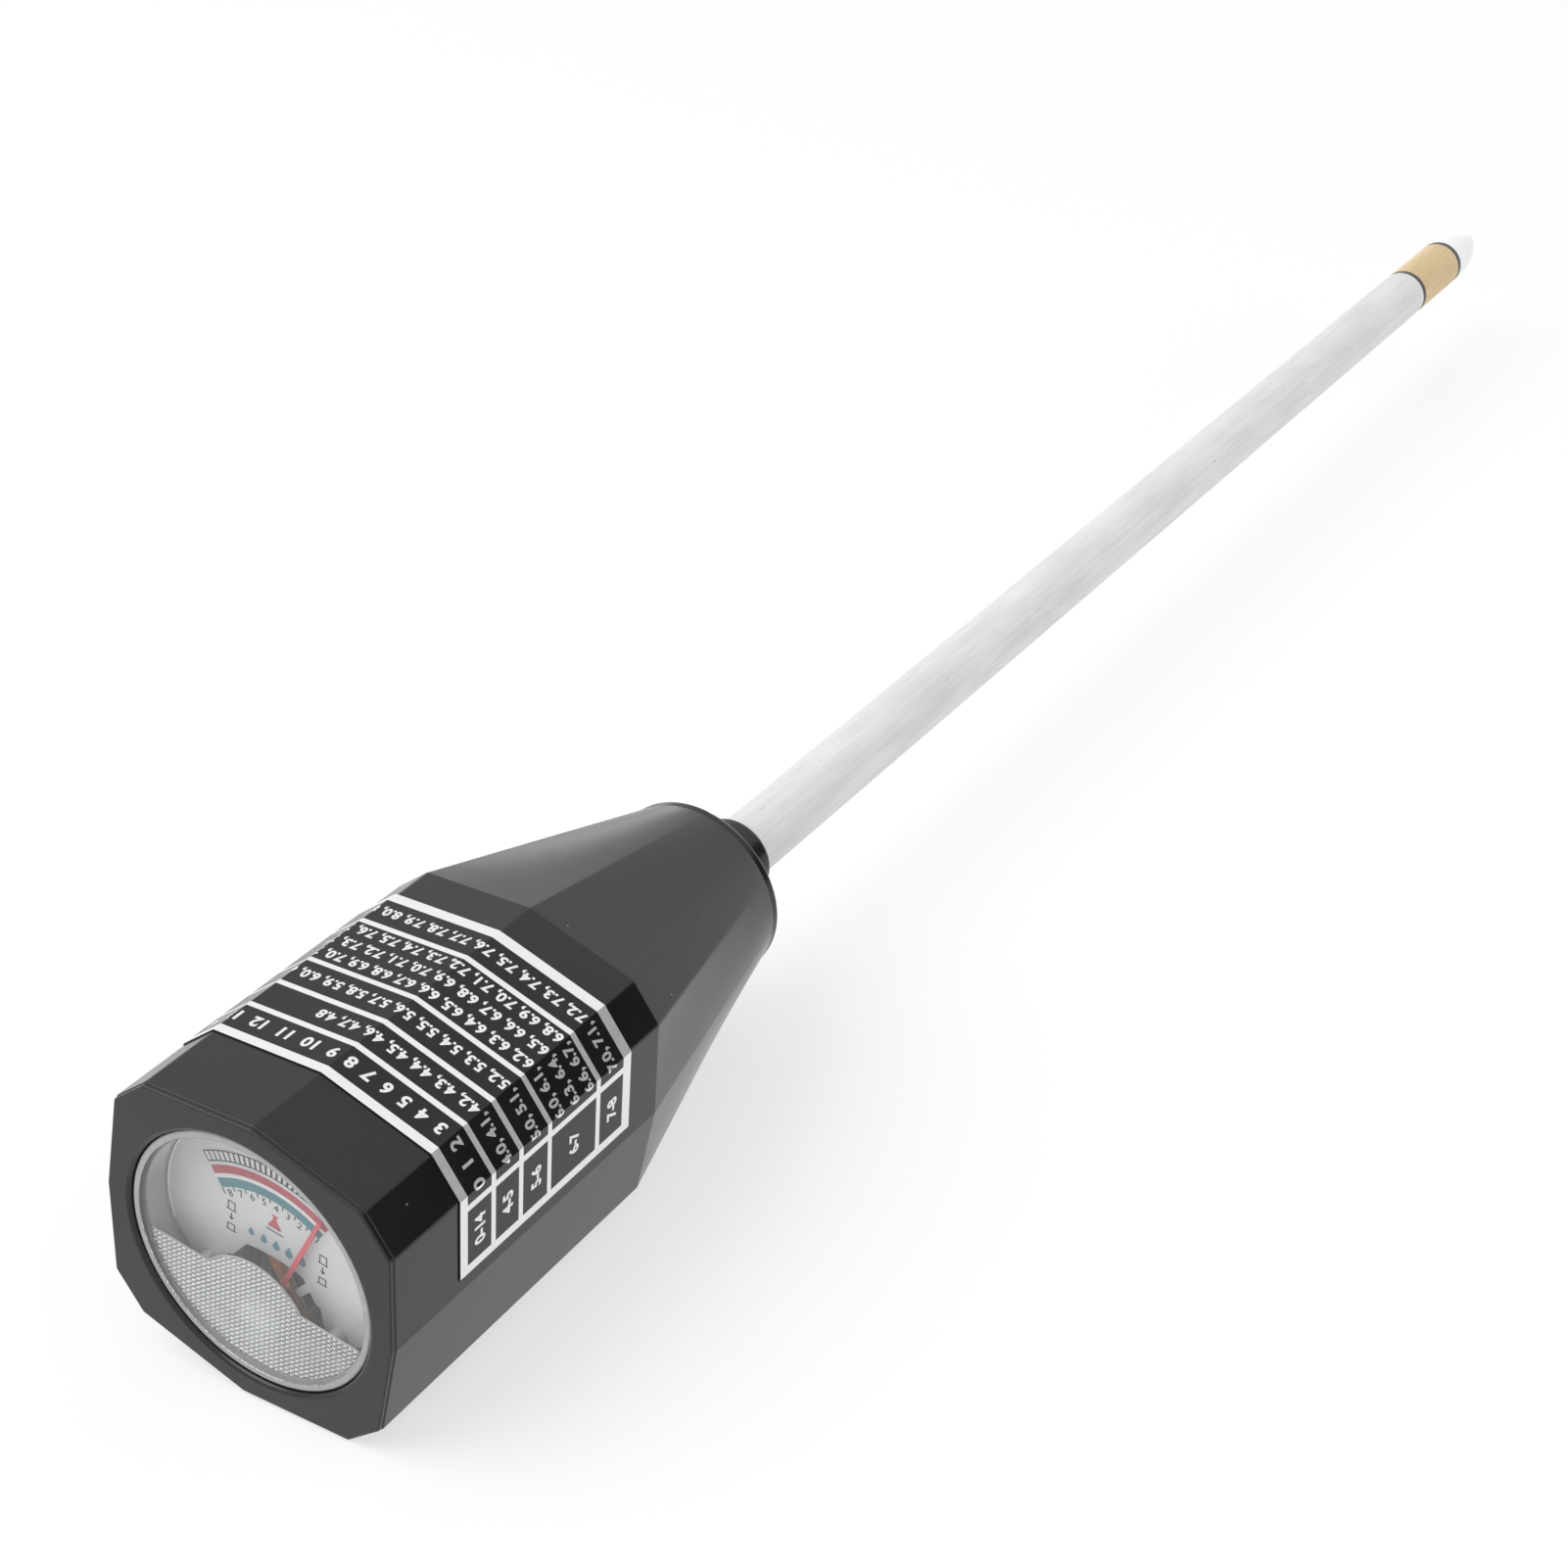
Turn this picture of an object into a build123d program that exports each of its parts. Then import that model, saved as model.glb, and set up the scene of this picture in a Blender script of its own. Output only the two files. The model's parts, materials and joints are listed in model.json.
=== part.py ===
from build123d import *
from math import atan2, cos, degrees, hypot, pi, radians, sin, sqrt, tan
import os

# Soil pH tester: a twelve-sided head with a moving-coil meter, and a long probe.
# Millimetres. +Z is up, the probe points along +Y and the dial faces -Y.
# The tester lies on the lower right facet of its head, at z = 0.
# Depths are measured from the dial face, along the probe.

# Head outline, seen from the dial: corners of one quarter
half_width = 21.5
half_height = 21.45
flank_x, flank_y = 20.4, 13.9
shoulder_x, shoulder_y = 16.0, 18.65
wall = 2.0
prism_length = 52.0
head_length = 93.7
end_radius = 13.25
corner_rounding = 0.8
end_wall = 2.5
end_band = 1.4
end_rounding = 0.5
front_rounding = 0.2

# Probe
probe_reach = 296.0
tube_radius = 4.65
tube_wall = 1.0
neck_step = 0.3
tip_length = 15.7
tip_nose_radius = 2.1
tip_shoulder = 2.0
ring_length = 1.5
ring_setback = 0.1
brass_length = 18.0
brass_setback = 0.03
stem_radius = 2.2
tip_solid = 6.7
bush_length = 18.0
collar_shoulder = 0.72
collar_length = 9.8
collar_rounding = 0.8
spigot_wall = 0.8
spigot_past_nut = 1.2
nut_across_flats = 15.0
nut_length = 3.5
washer_radius = 8.2
washer_thickness = 0.8
clip_length = 4.0
clip_wall = 0.7
clip_split = 2.0
clip_tab_reach = 3.6
clip_tab_width = 2.4
clip_stand = 1.5

# Front bezel and meter window
bezel_lip = 0.6
bezel_setback = 0.15
bezel_depth = 3.2
bezel_rounding = 0.25
window_rounding = 0.6
bezel_overlap = 0.88
spigot_gap = 0.1
flange_gap = 0.25
flange_thickness = 1.2
rib_width = 1.6
rib_depth = 5.1
rib_gap = 0.06

# List label
label_start = 12.1
label_end = 45.85
label_thickness = 0.18
label_right_edge = 2.0
label_left_edge = 12.6

# Meter cover, dial and base
cover_gap = 0.12
cover_recess = 0.5
cover_thickness = 1.7
cover_wall = 1.2
cover_rounding = 0.4
dial_gap = 0.1
dial_thickness = 0.4
dial_low_edge = 6.4
dial_tab_below = 1.4
dial_tab_half_width = 1.7
dial_tab_spread = 1.1
dial_cutout_top = 2.7
dial_cutout_shoulder = 3.2
dial_cutout_half_top = 4.3
dial_cutout_half_low = 6.4
finger_length = 2.4
finger_width = 1.1
finger_angle = 52.6
finger_inset = 1.0
finger_drop = 0.9
base_plate = 1.3
base_flange = 0.8
base_below_dial = 1.1
well_wall = 1.0
well_floor = 1.4
ledge_width = 0.8
boss_radius = 2.0
boss_length = 4.0
fit_gap = 0.03

# Meter movement
pivot_drop = 8.2
pivot_offset = 0.9
needle_rest = 69.7
needle_length = 17.1
needle_root_width = 0.75
needle_point_width = 0.5
needle_thickness = 0.3
needle_hub_radius = 0.95
tail_length = 3.6
arm_length = 2.2
arm_width = 0.6
weight_radius = 0.8
weight_thickness = 0.4
needle_over_dial = 0.5
spindle_radius = 0.35
bearing_gap = 0.06
bearing_end_gap = 0.1
bearing_depth = 0.6
jewel_radius = 1.2
screw_head_radius = 1.5
screw_head = 0.8
screw_clear_of_cover = 0.4
screw_shank_radius = 0.9
screw_slot_width = 0.5
screw_slot_depth = 0.35
dial_screw_inset = 3.27
dial_screw_angle = 42.86
spacer_radius = 1.4
bridge_width = 4.2
bridge_thickness = 0.8
spring_space = 1.0
spring_width = 0.15
spring_height = 0.3
spring_step = 0.35
spring_half_turns = 5
collet_radius = 0.75
spring_gap = 0.06
adjuster_thickness = 0.3
adjuster_ring = 0.9
adjuster_reach = 7.4
adjuster_angle = -50.0
adjuster_arm_width = 1.3
adjuster_fork_width = 2.6
adjuster_fork_depth = 1.6
adjuster_fork_slot = 0.9
core_radius = 3.5
core_length = 5.6
coil_gap = 0.4
former_thickness = 0.2
winding_thickness = 0.7
coil_width = 1.6
coil_lead_angle = 52.0
coil_behind_dial = 0.9
yoke_wall = 1.65
yoke_inset = 0.2
key_width = 2.0
key_length = 3.0
key_angle = 55.0
rear_jewel_space = 1.0
jewel_proud = 0.6

# Meter terminals
terminal_x = 5.5
terminal_rise = 5.0
terminal_radius = 1.2
terminal_head_radius = 2.0
terminal_head = 0.6
terminal_length = 5.0
terminal_nut_flats = 5.0
terminal_nut = 1.8
tag_thickness = 0.4
tag_ring = 1.2
tag_reach = 6.0
tag_width = 2.2
tag_solder_rise = 4.5

# Side button and range switch
button_behind_meter = 6.0
button_radius = 3.6
button_proud = 2.3
button_rounding = 0.7
button_gap = 0.08
button_flange_width = 0.6
button_flange = 0.9
button_flange_gap = 0.1
button_travel = 1.8
plunger_radius = 1.4
plunger_length = 1.5
blade_gap = 0.05
blade_thickness = 0.25
blade_width = 4.0
blade_free_end = 3.0
blade_bend = 5.0
blade_foot_start = 7.4
blade_foot_margin = 1.2
rivet_pitch = 2.7
contact_gap = 0.1
contact_radius = 1.2
contact_height = 0.9
rivet_radius = 0.6
rivet_head_radius = 1.0
rivet_head = 0.35
board_thickness = 1.6
board_clear = 1.1
board_tail = 4.3
board_edge = 0.2
post_clear = 0.6
board_screw_radius = 0.9
board_screw_head_radius = 1.7
board_screw_head = 0.8
board_screw_length = 5.0
post_radius = 1.7
resistor_space = 2.6
resistor_radius = 1.1
resistor_length = 6.0
resistor_leg_radius = 0.3
resistor_leg_span = 8.4
resistor_bend = 0.8

# Wiring
lead_radius = 0.5
core_solder_past = 2.0
core_turn_in = 7.5
core_turn_back = 13.5
core_bend_depth = 62.0
meter_solder_before = 1.6
meter_turn_in = 6.5
meter_straight = 8.0
tube_bend_depth = 66.0
tube_waypoint = (9.5, 5.0, 45.0)
tube_straight = 16.0

probe_end = head_length + probe_reach
roll = atan2(half_height - shoulder_y, shoulder_x)
axis_height = half_height * cos(roll)
dial = Plane(
    origin=(0, -probe_end / 2, axis_height),
    x_dir=(cos(roll), 0, -sin(roll)),
    z_dir=(0, -1, 0),
)


def depth(distance):
    """The plane that far behind the dial face, seen from the front."""
    return dial.offset(-distance)


def inside(x, y, distance):
    """A point given across, up and behind the dial face."""
    return dial.from_local_coords(Vector(x, y, -distance))


def outline(inset=0.0):
    """The twelve corners of the head, drawn in by inset."""
    corners = [Vector(half_width, 0), Vector(flank_x, flank_y), Vector(shoulder_x, shoulder_y)]
    corners += [Vector(0, half_height)]
    corners += [Vector(-p.X, p.Y) for p in reversed(corners[:3])]
    corners += [Vector(p.X, -p.Y) for p in reversed(corners[1:6])]
    drawn_in = []
    for i, corner in enumerate(corners):
        before = (corner - corners[i - 1]).normalized()
        after = (corners[(i + 1) % len(corners)] - corner).normalized()
        into_before = Vector(-before.Y, before.X)
        into_after = Vector(-after.Y, after.X)
        share = inset / (1 + into_before.dot(into_after))
        drawn_in.append(corner + (into_before + into_after) * share)
    return drawn_in


def head_section(inset=0.0):
    """The twelve-sided section as a face of the open sketch."""
    Polygon(*[(p.X, p.Y) for p in outline(inset)], align=None)


def corner_points(inset):
    """Start, middle and finish of the small arc at each corner of the section."""
    corners = outline(inset)
    arcs = []
    for before, corner, after in zip(corners[-1:] + corners[:-1], corners, corners[1:] + corners[:1]):
        back, ahead = (before - corner).normalized(), (after - corner).normalized()
        half_turn = radians(180 - back.get_angle(ahead)) / 2
        trim = corner_rounding * tan(half_turn)
        cut = corner_rounding * (1 / cos(half_turn) - 1)
        arcs.append((corner + back * trim, corner + (back + ahead).normalized() * cut, corner + ahead * trim))
    return arcs


def soft_section(inset=0.0):
    """The twelve-sided section with rounded corners."""
    arcs = corner_points(inset)
    with BuildLine() as ring:
        for (start, middle, finish), (following, _, _) in zip(arcs, arcs[1:] + arcs[:1]):
            ThreePointArc(start, middle, finish)
            Line(finish, following)
    make_face(ring.edges())


def soft_round_section(radius):
    """A circle in arcs, one for each side and each rounded corner of the head."""
    stops = [p.normalized() * radius for start, _, finish in corner_points(0.0) for p in (start, finish)]
    with BuildLine() as ring:
        for start, finish in zip(stops, stops[1:] + stops[:1]):
            ThreePointArc(start, (start + finish).normalized() * radius, finish)
    make_face(ring.edges())


def round_section(radius):
    """A circle in twelve arcs, one for each side of the head."""
    corners = [p.normalized() * radius for p in outline()]
    with BuildLine() as ring:
        for i, start in enumerate(corners):
            finish = corners[(i + 1) % len(corners)]
            ThreePointArc(start, (start + finish).normalized() * radius, finish)
    make_face(ring.edges())


def bend_radii(points):
    """The largest easy bend at each inner point of a lead's route."""
    radii = []
    for before, point, after in zip(points, points[1:], points[2:]):
        turn = radians((point - before).get_angle(after - point))
        shorter = min((point - before).length, (after - point).length)
        radii.append(0.45 * shorter / tan(turn / 2))
    return radii


def lead(points, name):
    """A round insulated wire along straight runs and bends, inside the open part."""
    radii = bend_radii(points)
    with BuildLine() as route:
        FilletPolyline(*points, radius=radii)
    with BuildSketch(Plane(origin=route.line @ 0, z_dir=route.line % 0)) as section:
        Circle(lead_radius)
    sweep(section.sketch, path=route.line)
    section_times_length = pi * lead_radius**2 * route.wire().length
    print(name, "bends", [round(r, 1) for r in radii], "section x length", round(section_times_length, 2))


def keep(piece, name):
    """Label a finished piece and write it out."""
    piece.part.label = name
    export_step(piece.part, f"parts/{name}.step")


os.makedirs("parts", exist_ok=True)

# Radii that follow from the head's inside
facet_reach = min(
    abs(a.X * b.Y - a.Y * b.X) / (b - a).length for a, b in zip(outline(), outline()[1:])
)
flange_radius = facet_reach - wall - flange_gap
window_radius = flange_radius - bezel_overlap
cover_radius = window_radius - cover_gap
cover_inner_radius = cover_radius - cover_wall
dial_radius = cover_inner_radius - dial_gap

# Depths of the meter's layers, from the window inwards
cover_inside = cover_recess + cover_thickness
screw_top = cover_inside + screw_clear_of_cover
bridge_front = screw_top + screw_head
bridge_back = bridge_front + bridge_thickness
needle_front = bridge_back + spring_space
needle_back = needle_front + needle_thickness
dial_front = needle_back + needle_over_dial
dial_back = dial_front + dial_thickness
base_front = dial_back + base_below_dial
skirt_end = base_front + base_plate
base_back = skirt_end + base_flange

# The coil round its core, the yoke round the coil and the well round the yoke
coil_front = dial_back + coil_behind_dial
former_front = coil_front + winding_thickness
core_front = former_front + former_thickness + coil_gap
core_back = core_front + core_length
former_back = core_back + coil_gap + former_thickness
coil_back = former_back + winding_thickness
former_inner = core_radius + coil_gap
former_outer = former_inner + former_thickness
coil_outer = former_outer + winding_thickness
yoke_inner = hypot(coil_outer, coil_width / 2) + coil_gap
yoke_outer = yoke_inner + yoke_wall
yoke_front = core_front + yoke_inset
yoke_back = core_back - yoke_inset
well_radius = yoke_outer + fit_gap
rear_jewel_front = coil_back + rear_jewel_space
well_bottom = rear_jewel_front + bearing_depth
well_back = well_bottom + well_floor
pivot = (pivot_offset, -pivot_drop)
dial_screw_x = (cover_inner_radius - dial_screw_inset) * cos(radians(dial_screw_angle))
dial_screw_drop = (cover_inner_radius - dial_screw_inset) * sin(radians(dial_screw_angle))
dial_screws_at = [(-dial_screw_x, -dial_screw_drop), (dial_screw_x, -dial_screw_drop)]
terminals_at = [(-terminal_x, terminal_rise), (terminal_x, terminal_rise)]

# The button's own plane lies on the left upper facet: x runs back along the head, z points out
facet_low = Vector(-half_width, 0)
facet_run = (Vector(-flank_x, flank_y) - facet_low).normalized()
button_rise = (Vector(-flank_x, flank_y) - facet_low).length / 2
button_depth = base_back + button_behind_meter
button_flange_radius = button_radius + button_flange_width
button_foot = facet_low + facet_run * button_rise
button_face = Plane(
    origin=inside(button_foot.X, button_foot.Y, button_depth),
    x_dir=-dial.z_dir,
    z_dir=dial.y_dir * facet_run.X - dial.x_dir * facet_run.Y,
)
flange_top = -wall - button_flange_gap
plunger_end = flange_top - button_flange - plunger_length
blade_top = plunger_end - blade_gap
contact_top = blade_top - blade_thickness - button_travel - contact_gap
board_top = contact_top - contact_height
board_under = board_top - board_thickness
first_rivet_x = blade_foot_start + blade_foot_margin
rivets_at = [(first_rivet_x, 0), (first_rivet_x + rivet_pitch, 0)]
blade_foot_end = first_rivet_x + rivet_pitch + blade_foot_margin
board_screw_x = first_rivet_x + rivet_pitch / 2
board_screw_y = blade_width / 2 + post_clear + post_radius
board_screws_at = [(board_screw_x, board_screw_y), (board_screw_x, -board_screw_y)]
resistor_x = board_screw_x + post_radius + resistor_space + resistor_radius
resistor_legs_at = [(resistor_x, resistor_leg_span / 2), (resistor_x, -resistor_leg_span / 2)]
board_front = button_behind_meter - board_clear
board_rear = resistor_x + board_tail
board_half_width = board_screw_y + post_radius + board_edge

# Places along the probe
taper_end = head_length - end_wall
collar_end = head_length + collar_length
spigot_length = end_wall + washer_thickness + nut_length + spigot_past_nut
tube_start = head_length - spigot_length - clip_stand - clip_length
tube_end = probe_end - tip_length - 2 * ring_length - brass_length
brass_start = tube_end + ring_length
brass_end = brass_start + brass_length
tip_start = brass_end + ring_length
stem_into_tip = tip_length - tip_solid
tube_bore = tube_radius - tube_wall
bush_start = tube_end - bush_length
neck_radius = tube_radius - neck_step
spigot_radius = neck_radius + fit_gap + spigot_wall
collar_radius = spigot_radius + collar_shoulder
clip_outer = neck_radius + fit_gap + clip_wall

# Head shell: hollow prism and taper, with ribs behind the meter's flange and posts for the board
with BuildPart() as head_shell:
    with BuildSketch(depth(bezel_lip)):
        soft_section()
    extrude(amount=-(prism_length - bezel_lip))
    with BuildSketch(depth(prism_length)):
        soft_section()
    with BuildSketch(depth(head_length - end_band)):
        soft_round_section(end_radius)
    loft(ruled=True)
    with BuildSketch(depth(head_length - end_band)):
        Circle(end_radius)
    extrude(amount=-end_band)
    with BuildSketch(depth(bezel_lip)):
        head_section(wall)
    extrude(amount=-(prism_length - bezel_lip), mode=Mode.SUBTRACT)
    with BuildSketch(depth(prism_length)):
        head_section(wall)
    with BuildSketch(depth(taper_end)):
        round_section(end_radius - wall)
    loft(ruled=True, mode=Mode.SUBTRACT)
    with BuildSketch(depth(head_length)):
        Circle(spigot_radius + fit_gap)
    extrude(amount=end_wall, mode=Mode.SUBTRACT)
    fillet(head_shell.faces().sort_by(Axis.Y)[0].outer_wire().edges(), front_rounding)
    rear_edges = head_shell.faces().sort_by(Axis.Y)[-1].outer_wire().edges()
    fillet(rear_edges, end_rounding)
    corner = (Vector(flank_x, flank_y) + Vector(shoulder_x, shoulder_y)) / 2
    rib_start = cover_radius + rib_gap
    rib_length = corner.length - wall / 2 - rib_start
    for across in (-1, 1):
        for up in (-1, 1):
            turn = degrees(atan2(up * corner.Y, across * corner.X))
            rib_centre = Vector(rib_start + rib_length / 2, 0).rotate(Axis.Z, turn)
            with BuildSketch(depth(bezel_depth + flange_thickness)):
                with Locations(Location((rib_centre.X, rib_centre.Y), turn)):
                    Rectangle(rib_length, rib_width)
            extrude(amount=-rib_depth)
    with BuildSketch(button_face.offset(-wall / 2)):
        with Locations(*board_screws_at):
            Circle(post_radius)
    extrude(amount=board_top + wall / 2)
    with BuildSketch(button_face.offset(board_top)):
        with Locations(*board_screws_at):
            Circle(board_screw_radius)
    extrude(amount=board_screw_length - board_thickness, mode=Mode.SUBTRACT)
    with BuildSketch(button_face):
        Circle(button_radius + button_gap)
    extrude(amount=-2 * wall, mode=Mode.SUBTRACT)
keep(head_shell, "head_shell")

# Front bezel: a thin lip over the shell's rim and a spigot inside it, round the window
with BuildPart() as front_bezel:
    with BuildSketch(depth(bezel_lip)):
        soft_section(bezel_setback)
    extrude(amount=bezel_lip)
    with BuildSketch(depth(bezel_lip)):
        head_section(wall + spigot_gap)
    extrude(amount=-(bezel_depth - bezel_lip))
    with BuildSketch(depth(0)):
        Circle(window_radius)
    extrude(amount=-bezel_depth, mode=Mode.SUBTRACT)
    front_edges = front_bezel.faces().sort_by(Axis.Y)[0].edges()
    fillet(front_edges.filter_by(GeomType.LINE), bezel_rounding)
    window_edge = front_bezel.edges().filter_by(GeomType.CIRCLE).group_by(Axis.Y)[0]
    fillet(window_edge, window_rounding)
keep(front_bezel, "front_bezel")

# List label: a film wrapped over the top facets, from the left facet to the right one
with BuildPart() as list_label:
    path_under = outline()
    path_over = outline(-label_thickness)
    right_run = (Vector(half_width, 0) - Vector(flank_x, flank_y)).normalized()
    right_out = Vector(-right_run.Y, right_run.X)
    right_foot = Vector(half_width, 0) - right_run * label_right_edge
    left_out = Vector(-right_out.X, right_out.Y)
    left_foot = facet_low + facet_run * label_left_edge
    under = [right_foot, *path_under[1:6], left_foot]
    over = [right_foot + right_out * label_thickness, *path_over[1:6], left_foot + left_out * label_thickness]
    with BuildSketch(depth(label_start)):
        Polygon(*[(p.X, p.Y) for p in under + over[::-1]], align=None)
    extrude(amount=-(label_end - label_start))
keep(list_label, "list_label")

# Meter cover: a clear cup with a flange that the bezel holds against the ribs
with BuildPart() as meter_cover:
    with BuildSketch(depth(cover_recess)):
        Circle(cover_radius)
    extrude(amount=-(skirt_end - cover_recess))
    front_edge = meter_cover.edges().group_by(Axis.Y)[0]
    fillet(front_edge, cover_rounding)
    with BuildSketch(depth(bezel_depth)):
        Circle(flange_radius)
    extrude(amount=-flange_thickness)
    with BuildSketch(depth(cover_inside)):
        Circle(cover_inner_radius)
    extrude(amount=-(skirt_end - cover_inside), mode=Mode.SUBTRACT)
keep(meter_cover, "meter_cover")

# Meter base: plate, rear flange, well for the movement and bosses for the dial screws
with BuildPart() as meter_base:
    with BuildSketch(depth(base_front)):
        Circle(cover_inner_radius - fit_gap)
    extrude(amount=-base_plate)
    with BuildSketch(depth(skirt_end)):
        Circle(cover_radius)
    extrude(amount=-base_flange)
    with BuildSketch(depth(skirt_end)):
        with Locations(pivot):
            Circle(well_radius + well_wall)
    extrude(amount=-(well_back - skirt_end))
    with BuildSketch(depth(dial_back)):
        with Locations(*dial_screws_at):
            Circle(boss_radius)
    extrude(amount=-(base_back + boss_length - dial_back))
    with BuildSketch(depth(base_front)):
        with Locations(pivot):
            Circle(well_radius)
    extrude(amount=-(yoke_back - base_front), mode=Mode.SUBTRACT)
    with BuildSketch(depth(yoke_back)):
        with Locations(pivot):
            Circle(well_radius - ledge_width)
    extrude(amount=-(well_bottom - yoke_back), mode=Mode.SUBTRACT)
    with BuildSketch(depth(well_bottom)):
        with Locations(pivot):
            Circle(jewel_radius + fit_gap)
    extrude(amount=-well_floor, mode=Mode.SUBTRACT)
    with BuildSketch(depth(dial_back)):
        with Locations(*dial_screws_at):
            Circle(screw_shank_radius)
    extrude(amount=-boss_length, mode=Mode.SUBTRACT)
    with BuildSketch(depth(base_front)):
        with Locations(*terminals_at):
            Circle(terminal_radius + fit_gap)
    extrude(amount=-(base_back - base_front), mode=Mode.SUBTRACT)
keep(meter_base, "meter_base")

# Dial plate: a disc above its low edge, with a screw tab each side and a cut-out over the movement.
# A finger reaches into the cut-out from its right shoulder.
with BuildPart() as dial_plate:
    with BuildSketch(depth(dial_front)):
        Circle(dial_radius)
        with Locations((0, -dial_low_edge)):
            Rectangle(3 * dial_radius, 2 * dial_radius, align=(Align.CENTER, Align.MAX), mode=Mode.SUBTRACT)
        for side in (-1, 1):
            tab_foot = -dial_screw_drop - dial_tab_below
            tab_inner = dial_screw_x - dial_tab_half_width
            tab = [
                ((tab_inner - dial_tab_spread) * side, -dial_low_edge),
                (tab_inner * side, tab_foot),
                ((dial_screw_x + dial_tab_half_width) * side, tab_foot),
                (sqrt(dial_radius**2 - dial_low_edge**2) * side, -dial_low_edge),
            ]
            Polygon(*tab, align=None)
        cutout = [
            (-dial_cutout_half_low, -dial_low_edge),
            (-dial_cutout_half_top, -dial_cutout_shoulder),
            (0, -dial_cutout_top),
            (dial_cutout_half_top, -dial_cutout_shoulder),
            (dial_cutout_half_low, -dial_low_edge),
        ]
        with BuildLine():
            Line(cutout[0], cutout[1])
            ThreePointArc(cutout[1], cutout[2], cutout[3])
            Polyline(cutout[3], cutout[4], cutout[0])
        make_face(mode=Mode.SUBTRACT)
        finger_place = (dial_cutout_half_top + finger_inset, -dial_cutout_shoulder - finger_drop)
        finger_root = Location(finger_place, finger_angle)
        with Locations(finger_root * Location((-finger_length / 2, 0))):
            SlotCenterToCenter(finger_length, finger_width)
        Circle(dial_radius, mode=Mode.INTERSECT)
        with Locations(*dial_screws_at):
            Circle(screw_shank_radius + fit_gap, mode=Mode.SUBTRACT)
    extrude(amount=-dial_thickness)
keep(dial_plate, "dial_plate")

# Front bridge, the spacers that lift it off the dial, and the screws through all of them
with BuildPart() as front_bridge:
    with BuildSketch(depth(bridge_front)):
        with Locations((0, -dial_screw_drop)):
            SlotCenterToCenter(2 * dial_screw_x, 2 * spacer_radius)
        with Locations(pivot):
            Rectangle(2 * bridge_width, bridge_width)
        with Locations(*dial_screws_at):
            Circle(screw_shank_radius + fit_gap, mode=Mode.SUBTRACT)
        with Locations(pivot):
            Circle(jewel_radius + fit_gap, mode=Mode.SUBTRACT)
    extrude(amount=-bridge_thickness)
keep(front_bridge, "front_bridge")

with BuildPart() as bridge_spacers:
    with BuildSketch(depth(bridge_back)):
        with Locations(*dial_screws_at):
            Circle(spacer_radius)
            Circle(screw_shank_radius + fit_gap, mode=Mode.SUBTRACT)
    extrude(amount=-(dial_front - bridge_back))
keep(bridge_spacers, "bridge_spacers")

with BuildPart() as dial_screws:
    with BuildSketch(depth(screw_top)):
        with Locations(*dial_screws_at):
            Circle(screw_head_radius)
    extrude(amount=-screw_head)
    with BuildSketch(depth(bridge_front)):
        with Locations(*dial_screws_at):
            Circle(screw_shank_radius)
    extrude(amount=-(dial_back + boss_length - bridge_front))
    with BuildSketch(depth(screw_top)):
        with Locations(*dial_screws_at):
            Rectangle(3 * screw_head_radius, screw_slot_width)
    extrude(amount=-screw_slot_depth, mode=Mode.SUBTRACT)
keep(dial_screws, "dial_screws")


# Jewel screws: each has a blind bearing hole that faces the coil
front_jewel_back = bridge_back + adjuster_thickness
with BuildPart() as front_jewel_screw:
    with BuildSketch(depth(bridge_front)):
        with Locations(pivot):
            Circle(jewel_radius)
    extrude(amount=-(front_jewel_back - bridge_front))
    with BuildSketch(depth(front_jewel_back)):
        with Locations(pivot):
            Circle(spindle_radius + bearing_gap)
    extrude(amount=bearing_depth, mode=Mode.SUBTRACT)
    with BuildSketch(depth(bridge_front)):
        with Locations(pivot):
            Rectangle(3 * jewel_radius, screw_slot_width)
    extrude(amount=-screw_slot_depth, mode=Mode.SUBTRACT)
keep(front_jewel_screw, "front_jewel_screw")

with BuildPart() as rear_jewel_screw:
    with BuildSketch(depth(rear_jewel_front)):
        with Locations(pivot):
            Circle(jewel_radius)
    extrude(amount=-(well_back + jewel_proud - rear_jewel_front))
    with BuildSketch(depth(rear_jewel_front)):
        with Locations(pivot):
            Circle(spindle_radius + bearing_gap)
    extrude(amount=-bearing_depth, mode=Mode.SUBTRACT)
keep(rear_jewel_screw, "rear_jewel_screw")

# Pivots: two half spindles on the coil, each with a collet for its hairspring
front_spring_front = front_jewel_back + spring_gap
rear_spring_front = rear_jewel_front - spring_gap - spring_height
with BuildPart() as pivots:
    with BuildSketch(depth(front_jewel_back - bearing_depth + bearing_end_gap)):
        with Locations(pivot):
            Circle(spindle_radius)
    extrude(amount=-(coil_front - front_jewel_back + bearing_depth - bearing_end_gap))
    with BuildSketch(depth(front_spring_front)):
        with Locations(pivot):
            Circle(collet_radius)
    extrude(amount=-spring_height)
    with BuildSketch(depth(coil_back)):
        with Locations(pivot):
            Circle(spindle_radius)
    extrude(amount=-(rear_jewel_front + bearing_depth - bearing_end_gap - coil_back))
    with BuildSketch(depth(rear_spring_front)):
        with Locations(pivot):
            Circle(collet_radius)
    extrude(amount=-spring_height)
keep(pivots, "pivots")

# Needle: a tapered pointer, with a tail and two short arms for the balance weights
needle_frame = Location((*pivot, 0), needle_rest)
with BuildPart() as needle:
    with BuildSketch(depth(needle_front)):
        with Locations(needle_frame):
            Circle(needle_hub_radius)
            pointer = [
                (0, -needle_root_width / 2),
                (needle_length, -needle_point_width / 2),
                (needle_length, needle_point_width / 2),
                (0, needle_root_width / 2),
            ]
            Polygon(*pointer, align=None)
            Rectangle(tail_length, arm_width, align=(Align.MAX, Align.CENTER))
            Rectangle(arm_width, 2 * arm_length)
            Circle(spindle_radius + fit_gap, mode=Mode.SUBTRACT)
    extrude(amount=-needle_thickness)
keep(needle, "needle")

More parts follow.
